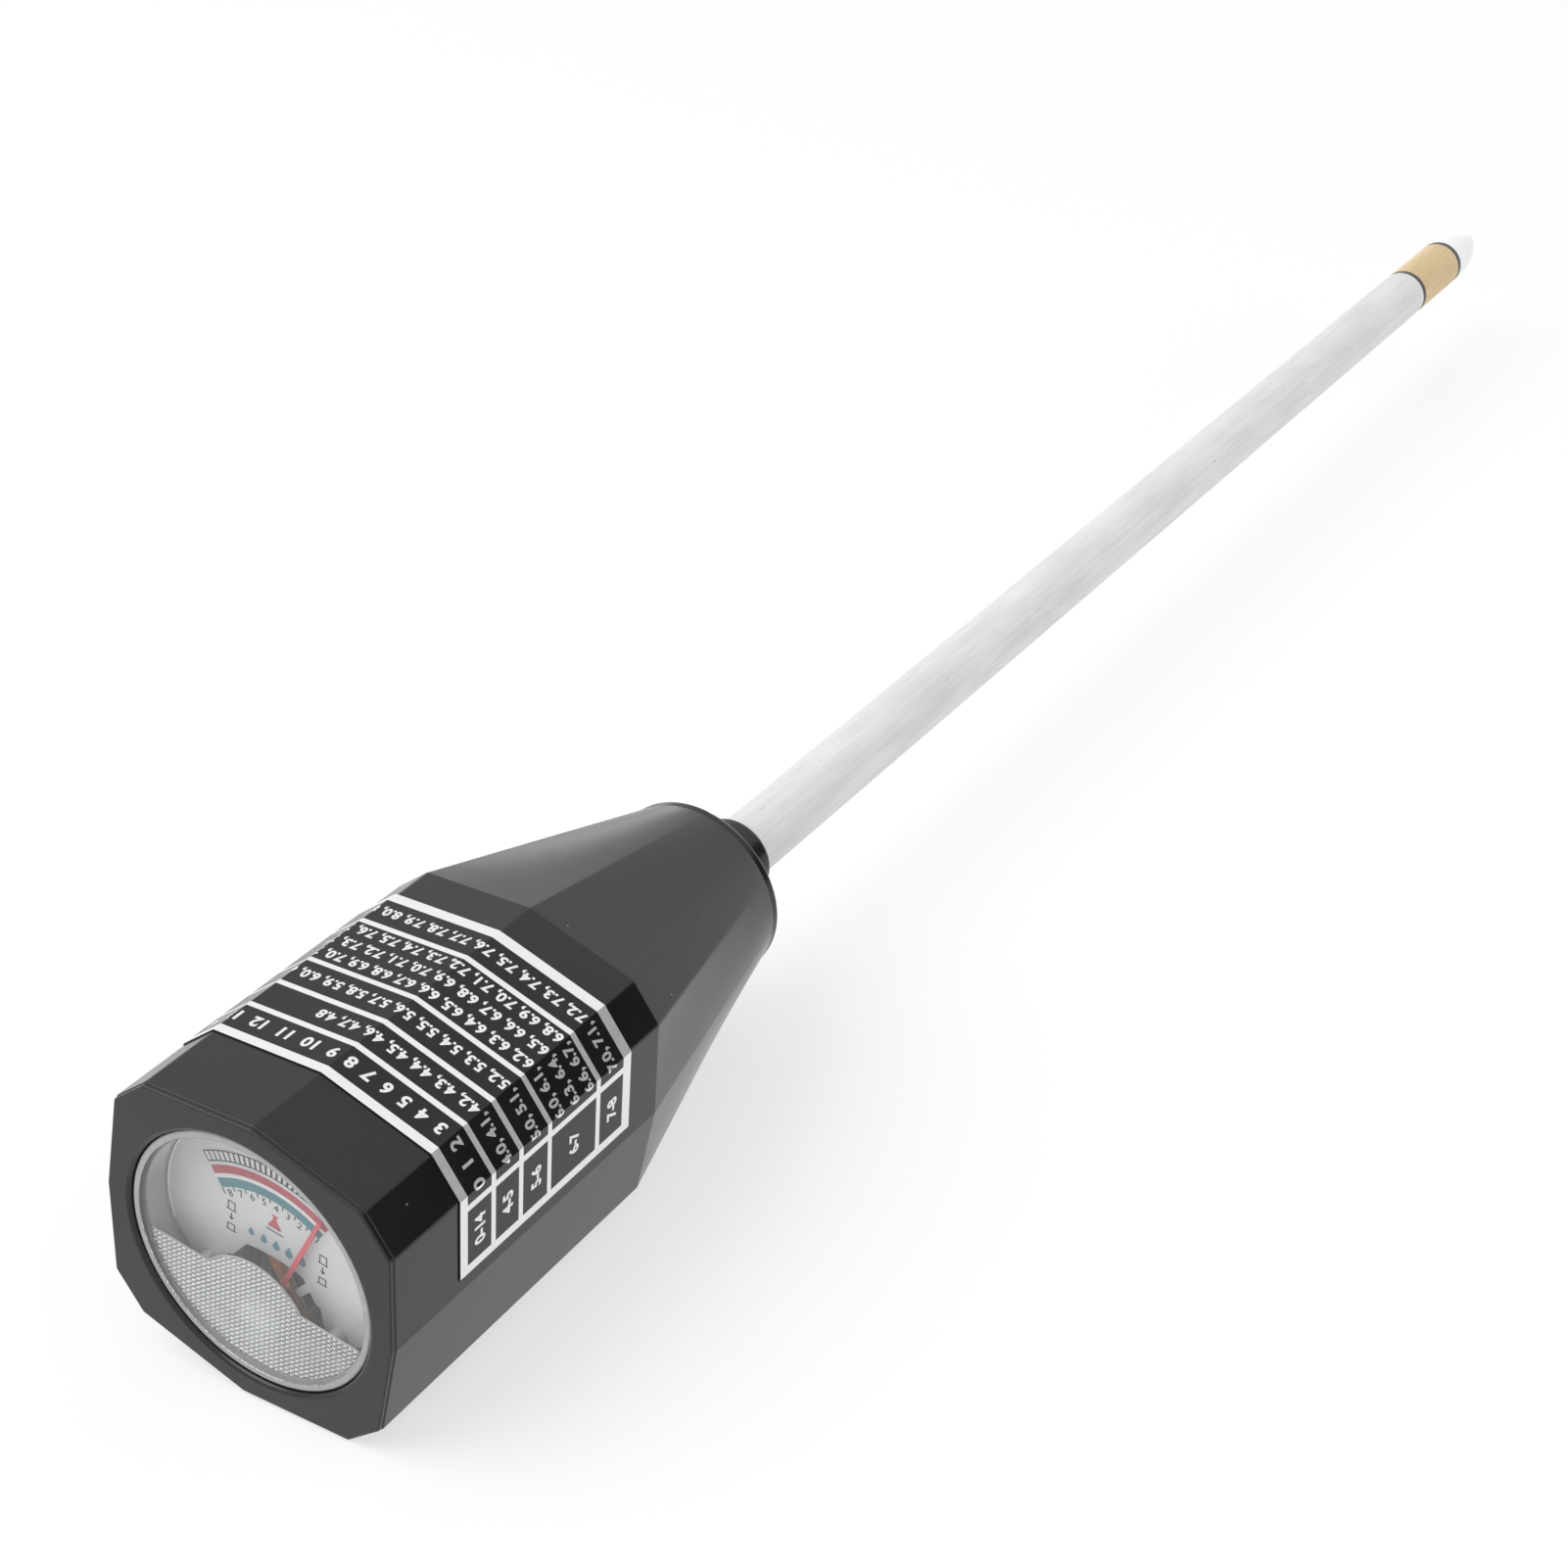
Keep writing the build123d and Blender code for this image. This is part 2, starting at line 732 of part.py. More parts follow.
with BuildPart() as balance_weights:
    with BuildSketch(depth(needle_back)):
        with Locations(needle_frame):
            with Locations((-tail_length, 0), (0, arm_length), (0, -arm_length)):
                Circle(weight_radius)
    extrude(amount=-weight_thickness)
keep(balance_weights, "balance_weights")


def spiral_spring():
    """A flat spiral of half circles round the pivot, drawn in the open sketch."""
    inner = collet_radius + spring_gap + spring_width / 2
    with BuildLine() as spiral:
        for i in range(spring_half_turns):
            centre = (pivot[0] + (spring_step if i % 2 else 0), pivot[1])
            CenterArc(centre, inner + i * spring_step, 180 * (i % 2), 180)
    trace(spiral.edges(), line_width=spring_width)


with BuildPart() as front_hairspring:
    with BuildSketch(depth(front_spring_front)):
        spiral_spring()
    extrude(amount=-spring_height)
keep(front_hairspring, "front_hairspring")

with BuildPart() as rear_hairspring:
    with BuildSketch(depth(rear_spring_front)):
        spiral_spring()
    extrude(amount=-spring_height)
keep(rear_hairspring, "rear_hairspring")

# Zero adjuster: a ring on the front jewel screw with a forked arm
with BuildPart() as zero_adjuster:
    with BuildSketch(depth(bridge_back)):
        with Locations(Location((*pivot, 0), adjuster_angle)):
            Circle(jewel_radius + adjuster_ring)
            Rectangle(adjuster_reach, adjuster_arm_width, align=(Align.MIN, Align.CENTER))
            with Locations((adjuster_reach, 0)):
                Rectangle(adjuster_fork_depth, adjuster_fork_width, align=(Align.MAX, Align.CENTER))
                Rectangle(
                    adjuster_fork_depth - adjuster_fork_slot / 2,
                    adjuster_fork_slot,
                    align=(Align.MAX, Align.CENTER),
                    mode=Mode.SUBTRACT,
                )
            Circle(jewel_radius + fit_gap, mode=Mode.SUBTRACT)
    extrude(amount=-adjuster_thickness)
keep(zero_adjuster, "zero_adjuster")

# Magnetic circuit: core magnet, soft iron yoke and the two keys that hold the core in it
with BuildPart() as core_magnet:
    with BuildSketch(depth(core_front)):
        with Locations(pivot):
            Circle(core_radius)
    extrude(amount=-core_length)
keep(core_magnet, "core_magnet")

with BuildPart() as yoke_ring:
    with BuildSketch(depth(yoke_front)):
        with Locations(pivot):
            Circle(yoke_outer)
            Circle(yoke_inner, mode=Mode.SUBTRACT)
    extrude(amount=-(yoke_back - yoke_front))
keep(yoke_ring, "yoke_ring")

with BuildPart() as core_keys:
    with BuildSketch(depth((core_front + core_back - key_length) / 2)):
        with Locations(pivot):
            Circle(yoke_inner)
            Circle(core_radius, mode=Mode.SUBTRACT)
        with Locations(Location((*pivot, 0), key_angle)):
            Rectangle(2 * yoke_outer, key_width, mode=Mode.INTERSECT)
    extrude(amount=-key_length)
keep(core_keys, "core_keys")

# Coil: a winding on a thin former, a loop that stands in the gap between core and yoke
coil_plane = Plane(
    origin=inside(*pivot, 0),
    x_dir=dial.x_dir.rotate(Axis((0, 0, 0), dial.z_dir), needle_rest + coil_lead_angle),
    z_dir=dial.y_dir.rotate(Axis((0, 0, 0), dial.z_dir), needle_rest + coil_lead_angle) * -1,
)


def coil_loop(half_span, front, back, mode=Mode.ADD):
    """One rectangle of the coil's loop: half span across the pivot, and its two depths."""
    with Locations((0, -(front + back) / 2)):
        Rectangle(2 * half_span, back - front, mode=mode)


with BuildPart() as coil_frame:
    with BuildSketch(coil_plane):
        coil_loop(former_outer, former_front, former_back)
        coil_loop(
            former_inner, former_front + former_thickness, former_back - former_thickness, Mode.SUBTRACT
        )
    extrude(amount=coil_width / 2, both=True)
keep(coil_frame, "coil_frame")

with BuildPart() as moving_coil:
    with BuildSketch(coil_plane):
        coil_loop(coil_outer, coil_front, coil_back)
        coil_loop(former_outer, former_front, former_back, Mode.SUBTRACT)
    extrude(amount=coil_width / 2, both=True)
keep(moving_coil, "moving_coil")

# Terminals: headed studs through the base, each with a solder tag and a nut
nut_front = base_back + tag_thickness
with BuildPart() as terminal_studs:
    with BuildSketch(depth(base_front - terminal_head)):
        with Locations(*terminals_at):
            Circle(terminal_head_radius)
    extrude(amount=-terminal_head)
    with BuildSketch(depth(base_front)):
        with Locations(*terminals_at):
            Circle(terminal_radius)
    extrude(amount=-(base_back + terminal_length - base_front))
keep(terminal_studs, "terminal_studs")

with BuildPart() as solder_tags:
    with BuildSketch(depth(base_back)):
        with Locations(*terminals_at):
            Circle(terminal_radius + tag_ring)
            Rectangle(tag_width, tag_reach, align=(Align.CENTER, Align.MIN))
            Circle(terminal_radius + fit_gap, mode=Mode.SUBTRACT)
    extrude(amount=-tag_thickness)
keep(solder_tags, "solder_tags")

with BuildPart() as terminal_nuts:
    with BuildSketch(depth(nut_front)):
        with Locations(*terminals_at):
            RegularPolygon(terminal_nut_flats / 2, 6, major_radius=False)
            Circle(terminal_radius + fit_gap, mode=Mode.SUBTRACT)
    extrude(amount=-terminal_nut)
keep(terminal_nuts, "terminal_nuts")

# Push button: a round cap through the facet, a flange behind the wall and a plunger
with BuildPart() as switch_button:
    with BuildSketch(button_face.offset(flange_top)):
        Circle(button_radius)
    extrude(amount=button_proud - flange_top)
    outer_edge = switch_button.edges().filter_by(GeomType.CIRCLE).sort_by(Axis.X)[0]
    fillet(outer_edge, button_rounding)
    with BuildSketch(button_face.offset(flange_top)):
        Circle(button_flange_radius)
    extrude(amount=-button_flange)
    with BuildSketch(button_face.offset(flange_top - button_flange)):
        Circle(plunger_radius)
    extrude(amount=-plunger_length)
keep(switch_button, "switch_button")

# Switch: a board on two posts, with a springy blade under the plunger and a contact below it
with BuildPart() as switch_board:
    with BuildSketch(button_face.offset(board_top)):
        with Locations((-board_front, 0)):
            Rectangle(board_front + board_rear, 2 * board_half_width, align=(Align.MIN, Align.CENTER))
        with Locations(*board_screws_at):
            Circle(board_screw_radius + fit_gap, mode=Mode.SUBTRACT)
        with Locations((0, 0), *rivets_at):
            Circle(rivet_radius + fit_gap, mode=Mode.SUBTRACT)
        with Locations(*resistor_legs_at):
            Circle(resistor_leg_radius + fit_gap, mode=Mode.SUBTRACT)
    extrude(amount=-board_thickness)
keep(switch_board, "switch_board")

with BuildPart() as board_screws:
    with BuildSketch(button_face.offset(board_under)):
        with Locations(*board_screws_at):
            Circle(board_screw_head_radius)
    extrude(amount=-board_screw_head)
    with BuildSketch(button_face.offset(board_under)):
        with Locations(*board_screws_at):
            Circle(board_screw_radius)
    extrude(amount=board_screw_length)
    with BuildSketch(button_face.offset(board_under - board_screw_head)):
        with Locations(*board_screws_at):
            Rectangle(3 * board_screw_head_radius, screw_slot_width)
    extrude(amount=screw_slot_depth, mode=Mode.SUBTRACT)
keep(board_screws, "board_screws")

blade_side = Plane(origin=button_face.origin, x_dir=button_face.x_dir, z_dir=-button_face.y_dir)
foot_top = board_top + blade_thickness
with BuildPart() as contact_blade:
    with BuildSketch(blade_side):
        upper = [
            (-blade_free_end, blade_top),
            (blade_bend, blade_top),
            (blade_foot_start, foot_top),
            (blade_foot_end, foot_top),
        ]
        lower = [
            (blade_foot_end, board_top),
            (blade_foot_start - blade_thickness, board_top),
            (blade_bend - blade_thickness, blade_top - blade_thickness),
            (-blade_free_end, blade_top - blade_thickness),
        ]
        Polygon(*upper, *lower, align=None)
    extrude(amount=blade_width / 2, both=True)
    with BuildSketch(button_face.offset(foot_top)):
        with Locations(*rivets_at):
            Circle(rivet_radius + fit_gap)
    extrude(amount=-blade_thickness, mode=Mode.SUBTRACT)
keep(contact_blade, "contact_blade")

with BuildPart() as blade_rivets:
    with BuildSketch(button_face.offset(foot_top)):
        with Locations(*rivets_at):
            Circle(rivet_head_radius)
    extrude(amount=rivet_head)
    with BuildSketch(button_face.offset(foot_top)):
        with Locations(*rivets_at):
            Circle(rivet_radius)
    extrude(amount=-(board_thickness + blade_thickness))
    with BuildSketch(button_face.offset(board_under)):
        with Locations(*rivets_at):
            Circle(rivet_head_radius)
    extrude(amount=-rivet_head)
keep(blade_rivets, "blade_rivets")

with BuildPart() as fixed_contact:
    with BuildSketch(button_face.offset(board_top)):
        Circle(contact_radius)
    extrude(amount=contact_height)
    with BuildSketch(button_face.offset(board_top)):
        Circle(rivet_radius)
    extrude(amount=-board_thickness)
    with BuildSketch(button_face.offset(board_under)):
        Circle(rivet_head_radius)
    extrude(amount=-rivet_head)
keep(fixed_contact, "fixed_contact")

with BuildPart() as shunt_resistor:
    resistor_axis = board_top + resistor_radius
    resistor_end = Plane(
        origin=button_face.from_local_coords(Vector(resistor_x, 0, resistor_axis)),
        x_dir=button_face.x_dir,
        z_dir=button_face.y_dir,
    )
    with BuildSketch(resistor_end):
        Circle(resistor_radius)
    extrude(amount=resistor_length / 2, both=True)
    with BuildLine() as leg:
        corners = [(x, y, z) for x, y in resistor_legs_at for z in (board_under, resistor_axis)]
        corners[2:] = corners[:1:-1]
        FilletPolyline(*[button_face.from_local_coords(Vector(*p)) for p in corners], radius=resistor_bend)
    with BuildSketch(Plane(origin=leg.line @ 0, z_dir=leg.line % 0)):
        Circle(resistor_leg_radius)
    sweep()
keep(shunt_resistor, "shunt_resistor")

# Probe: collar with its nut and washer, contact clip, tube with a turned-down neck, and the insulated end
with BuildPart() as tube_collar:
    with BuildSketch(depth(head_length)):
        Circle(collar_radius)
    extrude(amount=-collar_length)
    fillet(tube_collar.edges().group_by(Axis.Y)[-1], collar_rounding)
    with BuildSketch(depth(head_length)):
        Circle(spigot_radius)
    extrude(amount=spigot_length)
    with BuildSketch(depth(head_length - spigot_length)):
        Circle(neck_radius + fit_gap)
    extrude(amount=-(collar_length + spigot_length), mode=Mode.SUBTRACT)
keep(tube_collar, "tube_collar")

with BuildPart() as collar_washer:
    with BuildSketch(depth(taper_end)):
        Circle(washer_radius)
        Circle(spigot_radius + fit_gap, mode=Mode.SUBTRACT)
    extrude(amount=washer_thickness)
keep(collar_washer, "collar_washer")

with BuildPart() as collar_nut:
    with BuildSketch(depth(taper_end - washer_thickness)):
        RegularPolygon(nut_across_flats / 2, 6, major_radius=False)
        Circle(spigot_radius + fit_gap, mode=Mode.SUBTRACT)
    extrude(amount=nut_length)
keep(collar_nut, "collar_nut")

with BuildPart() as tube_clip:
    with BuildSketch(depth(tube_start)):
        Circle(clip_outer)
        Circle(neck_radius + fit_gap, mode=Mode.SUBTRACT)
        Rectangle(2 * clip_outer, clip_split, align=(Align.MAX, Align.CENTER), mode=Mode.SUBTRACT)
    extrude(amount=-clip_length)
    with BuildSketch(depth(tube_start)):
        with Locations((clip_outer - clip_wall / 2, 0)):
            Rectangle(clip_tab_reach, clip_tab_width, align=(Align.MIN, Align.CENTER))
    extrude(amount=-clip_wall)
keep(tube_clip, "tube_clip")

with BuildPart() as electrode_tube:
    with BuildSketch(depth(collar_end)):
        Circle(tube_radius)
    extrude(amount=-(tube_end - collar_end))
    with BuildSketch(depth(tube_start)):
        Circle(neck_radius)
    extrude(amount=-(collar_end - tube_start))
    with BuildSketch(depth(tube_start)):
        Circle(tube_bore)
    extrude(amount=-(tube_end - tube_start), mode=Mode.SUBTRACT)
keep(electrode_tube, "electrode_tube")

with BuildPart() as insulating_bush:
    with BuildSketch(depth(tube_end)):
        Circle(tube_radius - ring_setback)
    extrude(amount=-ring_length)
    with BuildSketch(depth(tube_end)):
        Circle(tube_bore - fit_gap)
    extrude(amount=bush_length)
    with BuildSketch(depth(bush_start)):
        Circle(stem_radius + fit_gap)
    extrude(amount=-(bush_length + ring_length), mode=Mode.SUBTRACT)
keep(insulating_bush, "insulating_bush")

with BuildPart() as brass_band:
    with BuildSketch(depth(bush_start)):
        Circle(stem_radius)
    extrude(amount=-(tip_start + stem_into_tip - bush_start))
    with BuildSketch(depth(brass_start)):
        Circle(tube_radius - brass_setback)
    extrude(amount=-brass_length)
keep(brass_band, "brass_band")

with BuildPart() as insulating_ring:
    with BuildSketch(depth(brass_end)):
        Circle(tube_radius - ring_setback)
        Circle(stem_radius + fit_gap, mode=Mode.SUBTRACT)
    extrude(amount=-ring_length)
keep(insulating_ring, "insulating_ring")

# Probe tip: a bullet nose, turned from a half profile along the axis
tip_side = Plane(origin=inside(0, 0, tip_start), x_dir=dial.x_dir, z_dir=dial.y_dir)
with BuildPart() as probe_tip:
    with BuildSketch(tip_side):
        tip_radius = tube_radius - brass_setback
        nose_run = tip_length - tip_nose_radius - tip_shoulder
        taper = tip_radius - tip_nose_radius
        side_radius = (tip_radius**2 + nose_run**2 - tip_nose_radius**2) / (2 * taper)
        side_centre = Vector(tip_radius - side_radius, tip_shoulder)
        nose_centre = Vector(0, tip_length - tip_nose_radius)
        meet = nose_centre + (nose_centre - side_centre).normalized() * tip_nose_radius
        with BuildLine():
            bore_path = Polyline(
                (0, stem_into_tip),
                (stem_radius + fit_gap, stem_into_tip),
                (stem_radius + fit_gap, 0),
                (tip_radius, 0),
                (tip_radius, tip_shoulder),
            )
            side = TangentArc(bore_path @ 1, meet, tangent=(0, 1))
            nose = TangentArc(side @ 1, (0, tip_length), tangent=side % 1)
            Line(nose @ 1, bore_path @ 0)
        make_face()
    revolve(axis=Axis(tip_side.origin, tip_side.y_dir))
keep(probe_tip, "probe_tip")

# Wiring: brass band to board, board to meter, tube to meter
into_head = button_face.z_dir * -1
core_solder = button_face.from_local_coords(Vector(resistor_x + core_solder_past, 0, board_under))
core_turn = core_solder + into_head * core_turn_in
core_points = [
    inside(0, 0, bush_start),
    inside(0, 0, core_bend_depth),
    core_turn - dial.z_dir * core_turn_back,
    core_turn,
    core_solder,
]
with BuildPart() as core_lead:
    lead(core_points, "core_lead")
keep(core_lead, "core_lead")

meter_solder = button_face.from_local_coords(Vector(resistor_x - meter_solder_before, 0, board_under))
meter_tag = (-terminal_x, terminal_rise + tag_solder_rise)
meter_points = [
    meter_solder,
    meter_solder + into_head * meter_turn_in,
    inside(*meter_tag, nut_front + meter_straight),
    inside(*meter_tag, nut_front),
]
with BuildPart() as meter_lead:
    lead(meter_points, "meter_lead")
keep(meter_lead, "meter_lead")

tube_tag = (terminal_x, terminal_rise + tag_solder_rise)
clip_solder_x = clip_outer + clip_tab_reach - clip_tab_width
tube_points = [
    inside(clip_solder_x, 0, tube_start),
    inside(clip_solder_x, 0, tube_bend_depth),
    inside(*tube_waypoint),
    inside(*tube_tag, nut_front + tube_straight),
    inside(*tube_tag, nut_front),
]
with BuildPart() as tube_lead:
    lead(tube_points, "tube_lead")
keep(tube_lead, "tube_lead")
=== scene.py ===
# %% [markdown]
# # A soil tester with a needle dial
#
# The real thing is a dark moulded head with twelve flat sides, a round meter window in its face, a printed
# list wrapped over its top, and a long metal probe that ends in a brass band and a white point.
# Its solids are already packed. This lesson dresses them: finishes, print, window, light and camera.

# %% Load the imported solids
import json
import math

import bmesh
import bpy
from mathutils import Matrix, Vector


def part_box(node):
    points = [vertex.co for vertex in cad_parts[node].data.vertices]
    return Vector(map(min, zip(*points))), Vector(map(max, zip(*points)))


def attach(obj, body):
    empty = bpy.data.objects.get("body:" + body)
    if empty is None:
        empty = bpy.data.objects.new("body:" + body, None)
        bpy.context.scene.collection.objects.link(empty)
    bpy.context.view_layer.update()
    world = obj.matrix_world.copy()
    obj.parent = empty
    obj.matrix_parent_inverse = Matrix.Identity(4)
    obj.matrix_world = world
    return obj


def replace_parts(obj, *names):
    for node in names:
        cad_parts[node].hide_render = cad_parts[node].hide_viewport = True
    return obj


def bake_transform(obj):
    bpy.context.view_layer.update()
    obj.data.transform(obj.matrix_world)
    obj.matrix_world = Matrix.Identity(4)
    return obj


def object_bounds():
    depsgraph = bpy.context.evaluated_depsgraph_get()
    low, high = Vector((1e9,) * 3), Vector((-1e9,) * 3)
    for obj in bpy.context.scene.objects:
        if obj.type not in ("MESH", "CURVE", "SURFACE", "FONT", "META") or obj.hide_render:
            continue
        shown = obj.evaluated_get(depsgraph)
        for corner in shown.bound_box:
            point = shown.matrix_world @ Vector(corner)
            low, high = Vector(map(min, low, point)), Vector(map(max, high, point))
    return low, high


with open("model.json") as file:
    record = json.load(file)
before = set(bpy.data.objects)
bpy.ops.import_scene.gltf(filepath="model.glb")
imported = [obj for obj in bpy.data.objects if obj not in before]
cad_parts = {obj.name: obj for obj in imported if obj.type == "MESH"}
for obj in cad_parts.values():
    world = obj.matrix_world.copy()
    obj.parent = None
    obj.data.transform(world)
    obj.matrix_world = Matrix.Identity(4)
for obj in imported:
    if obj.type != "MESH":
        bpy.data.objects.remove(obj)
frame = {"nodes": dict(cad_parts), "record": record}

cad_low, cad_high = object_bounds()
print("packed nodes:", len(frame["nodes"]), "size in mm:", [round(1000 * x, 1) for x in cad_high - cad_low])

# %% [markdown]
# ## The tester's own directions
#
# The tester lies rolled onto one of its facets, so its dial is not square to the floor. Each place on it
# could be worked out in floor coordinates, but a maker measures from the face: how many mm across, up and
# back.
# One function turns those three numbers into a point of the scene, and everything below uses it.

# %% Across, up and back from the face
MM = 0.001
HEAD_RIGHT = [(21.5, 0.0), (20.4, 13.9), (16.0, 18.65), (0.0, 21.45)]
roll = math.atan2(HEAD_RIGHT[3][1] - HEAD_RIGHT[2][1], HEAD_RIGHT[2][0])
across = Vector((math.cos(roll), 0.0, -math.sin(roll)))
upward = Vector((math.sin(roll), 0.0, math.cos(roll)))
back = Vector((0.0, 1.0, 0.0))
tube_low, tube_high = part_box("electrode_tube")
face = Vector((0.0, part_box("front_bezel")[0].y, (tube_low.z + tube_high.z) / 2))


def at(w, v, s):
    """The point w mm across, v mm up and s mm back from the middle of the face."""
    return face + (across * w + upward * v + back * s) * MM


print("the head is rolled by", round(math.degrees(roll), 2), "degrees")

# %% [markdown]
# ## Camera
#
# The photograph looks down on the face from the right and above, with a fairly long lens. The camera could be
# turned by hand until things line up. Here its place and its three axes were solved from the head's corners
# and the probe's ends, and they are written in the tester's own directions.

# %% Set up the camera
EYE = (151.396, 243.7, -178.959)
SIGHT_RIGHT = (0.83597941, 0.12690492, 0.53388534)
SIGHT_DOWN = (0.4032403, -0.80193649, -0.44078921)
SIGHT_AHEAD = (-0.37220382, -0.58377479, 0.72157558)
FOCAL_PIXELS, PHOTO_PIXELS = 2905.334, 1601


def way(w, v, s):
    """A direction given across, up and back."""
    return across * w + upward * v + back * s


camera = bpy.data.objects.new("camera", bpy.data.cameras.new("camera"))
bpy.context.scene.collection.objects.link(camera)
camera.data.sensor_width = 36.0
camera.data.lens = FOCAL_PIXELS / PHOTO_PIXELS * camera.data.sensor_width
camera.data.clip_start, camera.data.clip_end = 0.01, 20.0
axes = Matrix((way(*SIGHT_RIGHT), -way(*SIGHT_DOWN), -way(*SIGHT_AHEAD))).transposed()
camera.matrix_world = Matrix.Translation(at(*EYE)) @ axes.to_4x4()
bpy.context.scene.camera = camera
print("lens:", round(camera.data.lens, 2), "mm")

# %% [markdown]
# ## Shader maths as plain sums
#
# A finish is a tree of nodes. The trees could be wired by hand, one link at a time, but then a sum such as
# `1 - mask` takes four lines. This class holds one socket, so that arithmetic on it adds the Math nodes,
# and its `node` method adds any other node: settings first, then the values or links of its sockets.


# %% One class for sockets
class Wire:
    """One socket of a node tree."""

    def __init__(self, tree, socket=None):
        self.tree, self.socket = tree, socket

    def node(self, kind, settings=None, sockets=None, out=0):
        made = self.tree.nodes.new(kind)
        for name, value in (settings or {}).items():
            if name == "stops":
                while len(made.color_ramp.elements) < len(value):
                    made.color_ramp.elements.new(0.5)
                for stop, (place, colour) in zip(made.color_ramp.elements, value):
                    stop.position, stop.color = place, colour
            else:
                setattr(made, name, value)
        for name, value in (sockets or {}).items():
            if isinstance(value, Wire):
                self.tree.links.new(value.socket, made.inputs[name])
            else:
                made.inputs[name].default_value = value
        return Wire(self.tree, made.outputs[out] if len(made.outputs) else None)

    def sum_of(self, operation, a, b):
        return self.node("ShaderNodeMath", {"operation": operation}, {0: a, 1: b})

    def __add__(self, other):
        return self.sum_of("ADD", self, other)

    def __radd__(self, other):
        return self.sum_of("ADD", other, self)

    def __sub__(self, other):
        return self.sum_of("SUBTRACT", self, other)

    def __rsub__(self, other):
        return self.sum_of("SUBTRACT", other, self)

    def __mul__(self, other):
        return self.sum_of("MULTIPLY", self, other)

    def __rmul__(self, other):
        return self.sum_of("MULTIPLY", other, self)

    def __gt__(self, other):
        return self.sum_of("GREATER_THAN", self, other)

    def __lt__(self, other):
        return self.sum_of("LESS_THAN", self, other)


print("sockets add, subtract, multiply and compare")

# %% [markdown]
# ## Helpers for finishes
#
# Every finish here needs the same few things: noise in the tester's own metres, a step between two values,
# a mix of two colours, a fine relief, and a measure along a direction. They are small functions on a wire,
# so that each finish below reads as a short recipe.

# %% Noise, masks, tints, relief and measure
finishes = {}


def new_finish(name):
    """An empty material, and a wire to start its tree from."""
    material = bpy.data.materials.new(name)
    material.use_nodes = True
    material.node_tree.nodes.clear()
    finishes[name] = material
    return Wire(material.node_tree)


def place_on(wire, stretch=None):
    """The point on the tester in metres, stretched along an axis where lines run."""
    point = wire.node("ShaderNodeTexCoord", out="Object")
    if stretch is None:
        return point
    return wire.node("ShaderNodeVectorMath", {"operation": "MULTIPLY"}, {0: point, 1: stretch})


def grain(wire, scale, detail=2.0, stretch=None):
    """Soft noise from 0 to 1, with `scale` lumps to the metre."""
    sockets = {"Vector": place_on(wire, stretch), "Scale": scale, "Detail": detail}
    return wire.node("ShaderNodeTexNoise", None, sockets)


def ramp(value, low, high):
    """0 below low, 1 above high, and a smooth step between."""
    sockets = {"Value": value, "From Min": low, "From Max": high}
    return value.node("ShaderNodeMapRange", {"interpolation_type": "SMOOTHSTEP"}, sockets)


def tint(mask, first, second):
    """One colour where the mask is 0, the other where it is 1."""
    colours = [c if isinstance(c, Wire) else (*c, 1.0) for c in (first, second)]
    return mask.node("ShaderNodeMix", {"data_type": "RGBA"}, {0: mask, 6: colours[0], 7: colours[1]}, out=2)


def relief(height, depth, strength=1.0):
    """A fine bump, depth in metres."""
    return height.node("ShaderNodeBump", None, {"Height": height, "Distance": depth, "Strength": strength})


def specks(wire, scale, size, share):
    """Small dots: about `scale` places to the metre, of which a share holds one."""
    sockets = {"Vector": place_on(wire), "Scale": scale}
    cells = wire.node("ShaderNodeTexVoronoi", None, sockets, out="Distance")
    again = wire.node("ShaderNodeTexVoronoi", None, sockets, out="Color")
    lot = wire.node("ShaderNodeSeparateColor", None, {"Color": again})
    return (cells < size) * (lot < share)


def along(wire, direction):
    """How far the point lies from the middle of the face in one direction, in metres."""
    from_face = wire.node("ShaderNodeVectorMath", {"operation": "SUBTRACT"},
                          {0: place_on(wire), 1: tuple(face)})
    return wire.node("ShaderNodeVectorMath", {"operation": "DOT_PRODUCT"},
                     {0: from_face, 1: tuple(direction)}, out="Value")


def coat(wire, sockets):
    """Close a finish: its main shader and the output."""
    shader = wire.node("ShaderNodeBsdfPrincipled", None, sockets)
    wire.node("ShaderNodeOutputMaterial", None, {"Surface": shader})


print("finish helpers ready")

# %% [markdown]
# ## The case: dark moulded plastic
#
# The head, its front frame, the collar and the button are one dark, half-matt plastic. A single black would
# look like a hole in the picture. The real surface has a soft cloudiness in its gloss, a very fine moulded
# grain, and a few specks of dust, so those three are what this finish is made of.

# %% Case plastic
CASE_DARK, CASE_LIGHT, DUST = (0.0065, 0.0067, 0.0072), (0.011, 0.0113, 0.012), (0.2, 0.2, 0.2)


def case_finish(name, gloss):
    wire = new_finish(name)
    cloud = grain(wire, 70.0, 4.0)
    fine = grain(wire, 7000.0, 1.0)
    dust = specks(wire, 260.0, 0.035, 0.4)
    coat(wire, {
        "Base Color": tint(dust, tint(cloud, CASE_DARK, CASE_LIGHT), DUST),
        "Roughness": gloss + 0.12 * cloud + 0.2 * dust,
        "Specular IOR Level": 0.4,
        "Normal": relief(fine, 0.00003, 0.1),
    })


case_finish("case_plastic", 0.18)
case_finish("button_plastic", 0.26)
print("case finishes:", sorted(finishes))

# %% [markdown]
# ## Plain moulded and painted parts
#
# The white point, the dark rings, the meter's grey base, the wires' covers and the painted needle differ
# only in colour and gloss. Each could have its own recipe, but one recipe with a pair of colours does for
# all of them: a slow drift between the two colours, a drift in gloss and a fine grain.

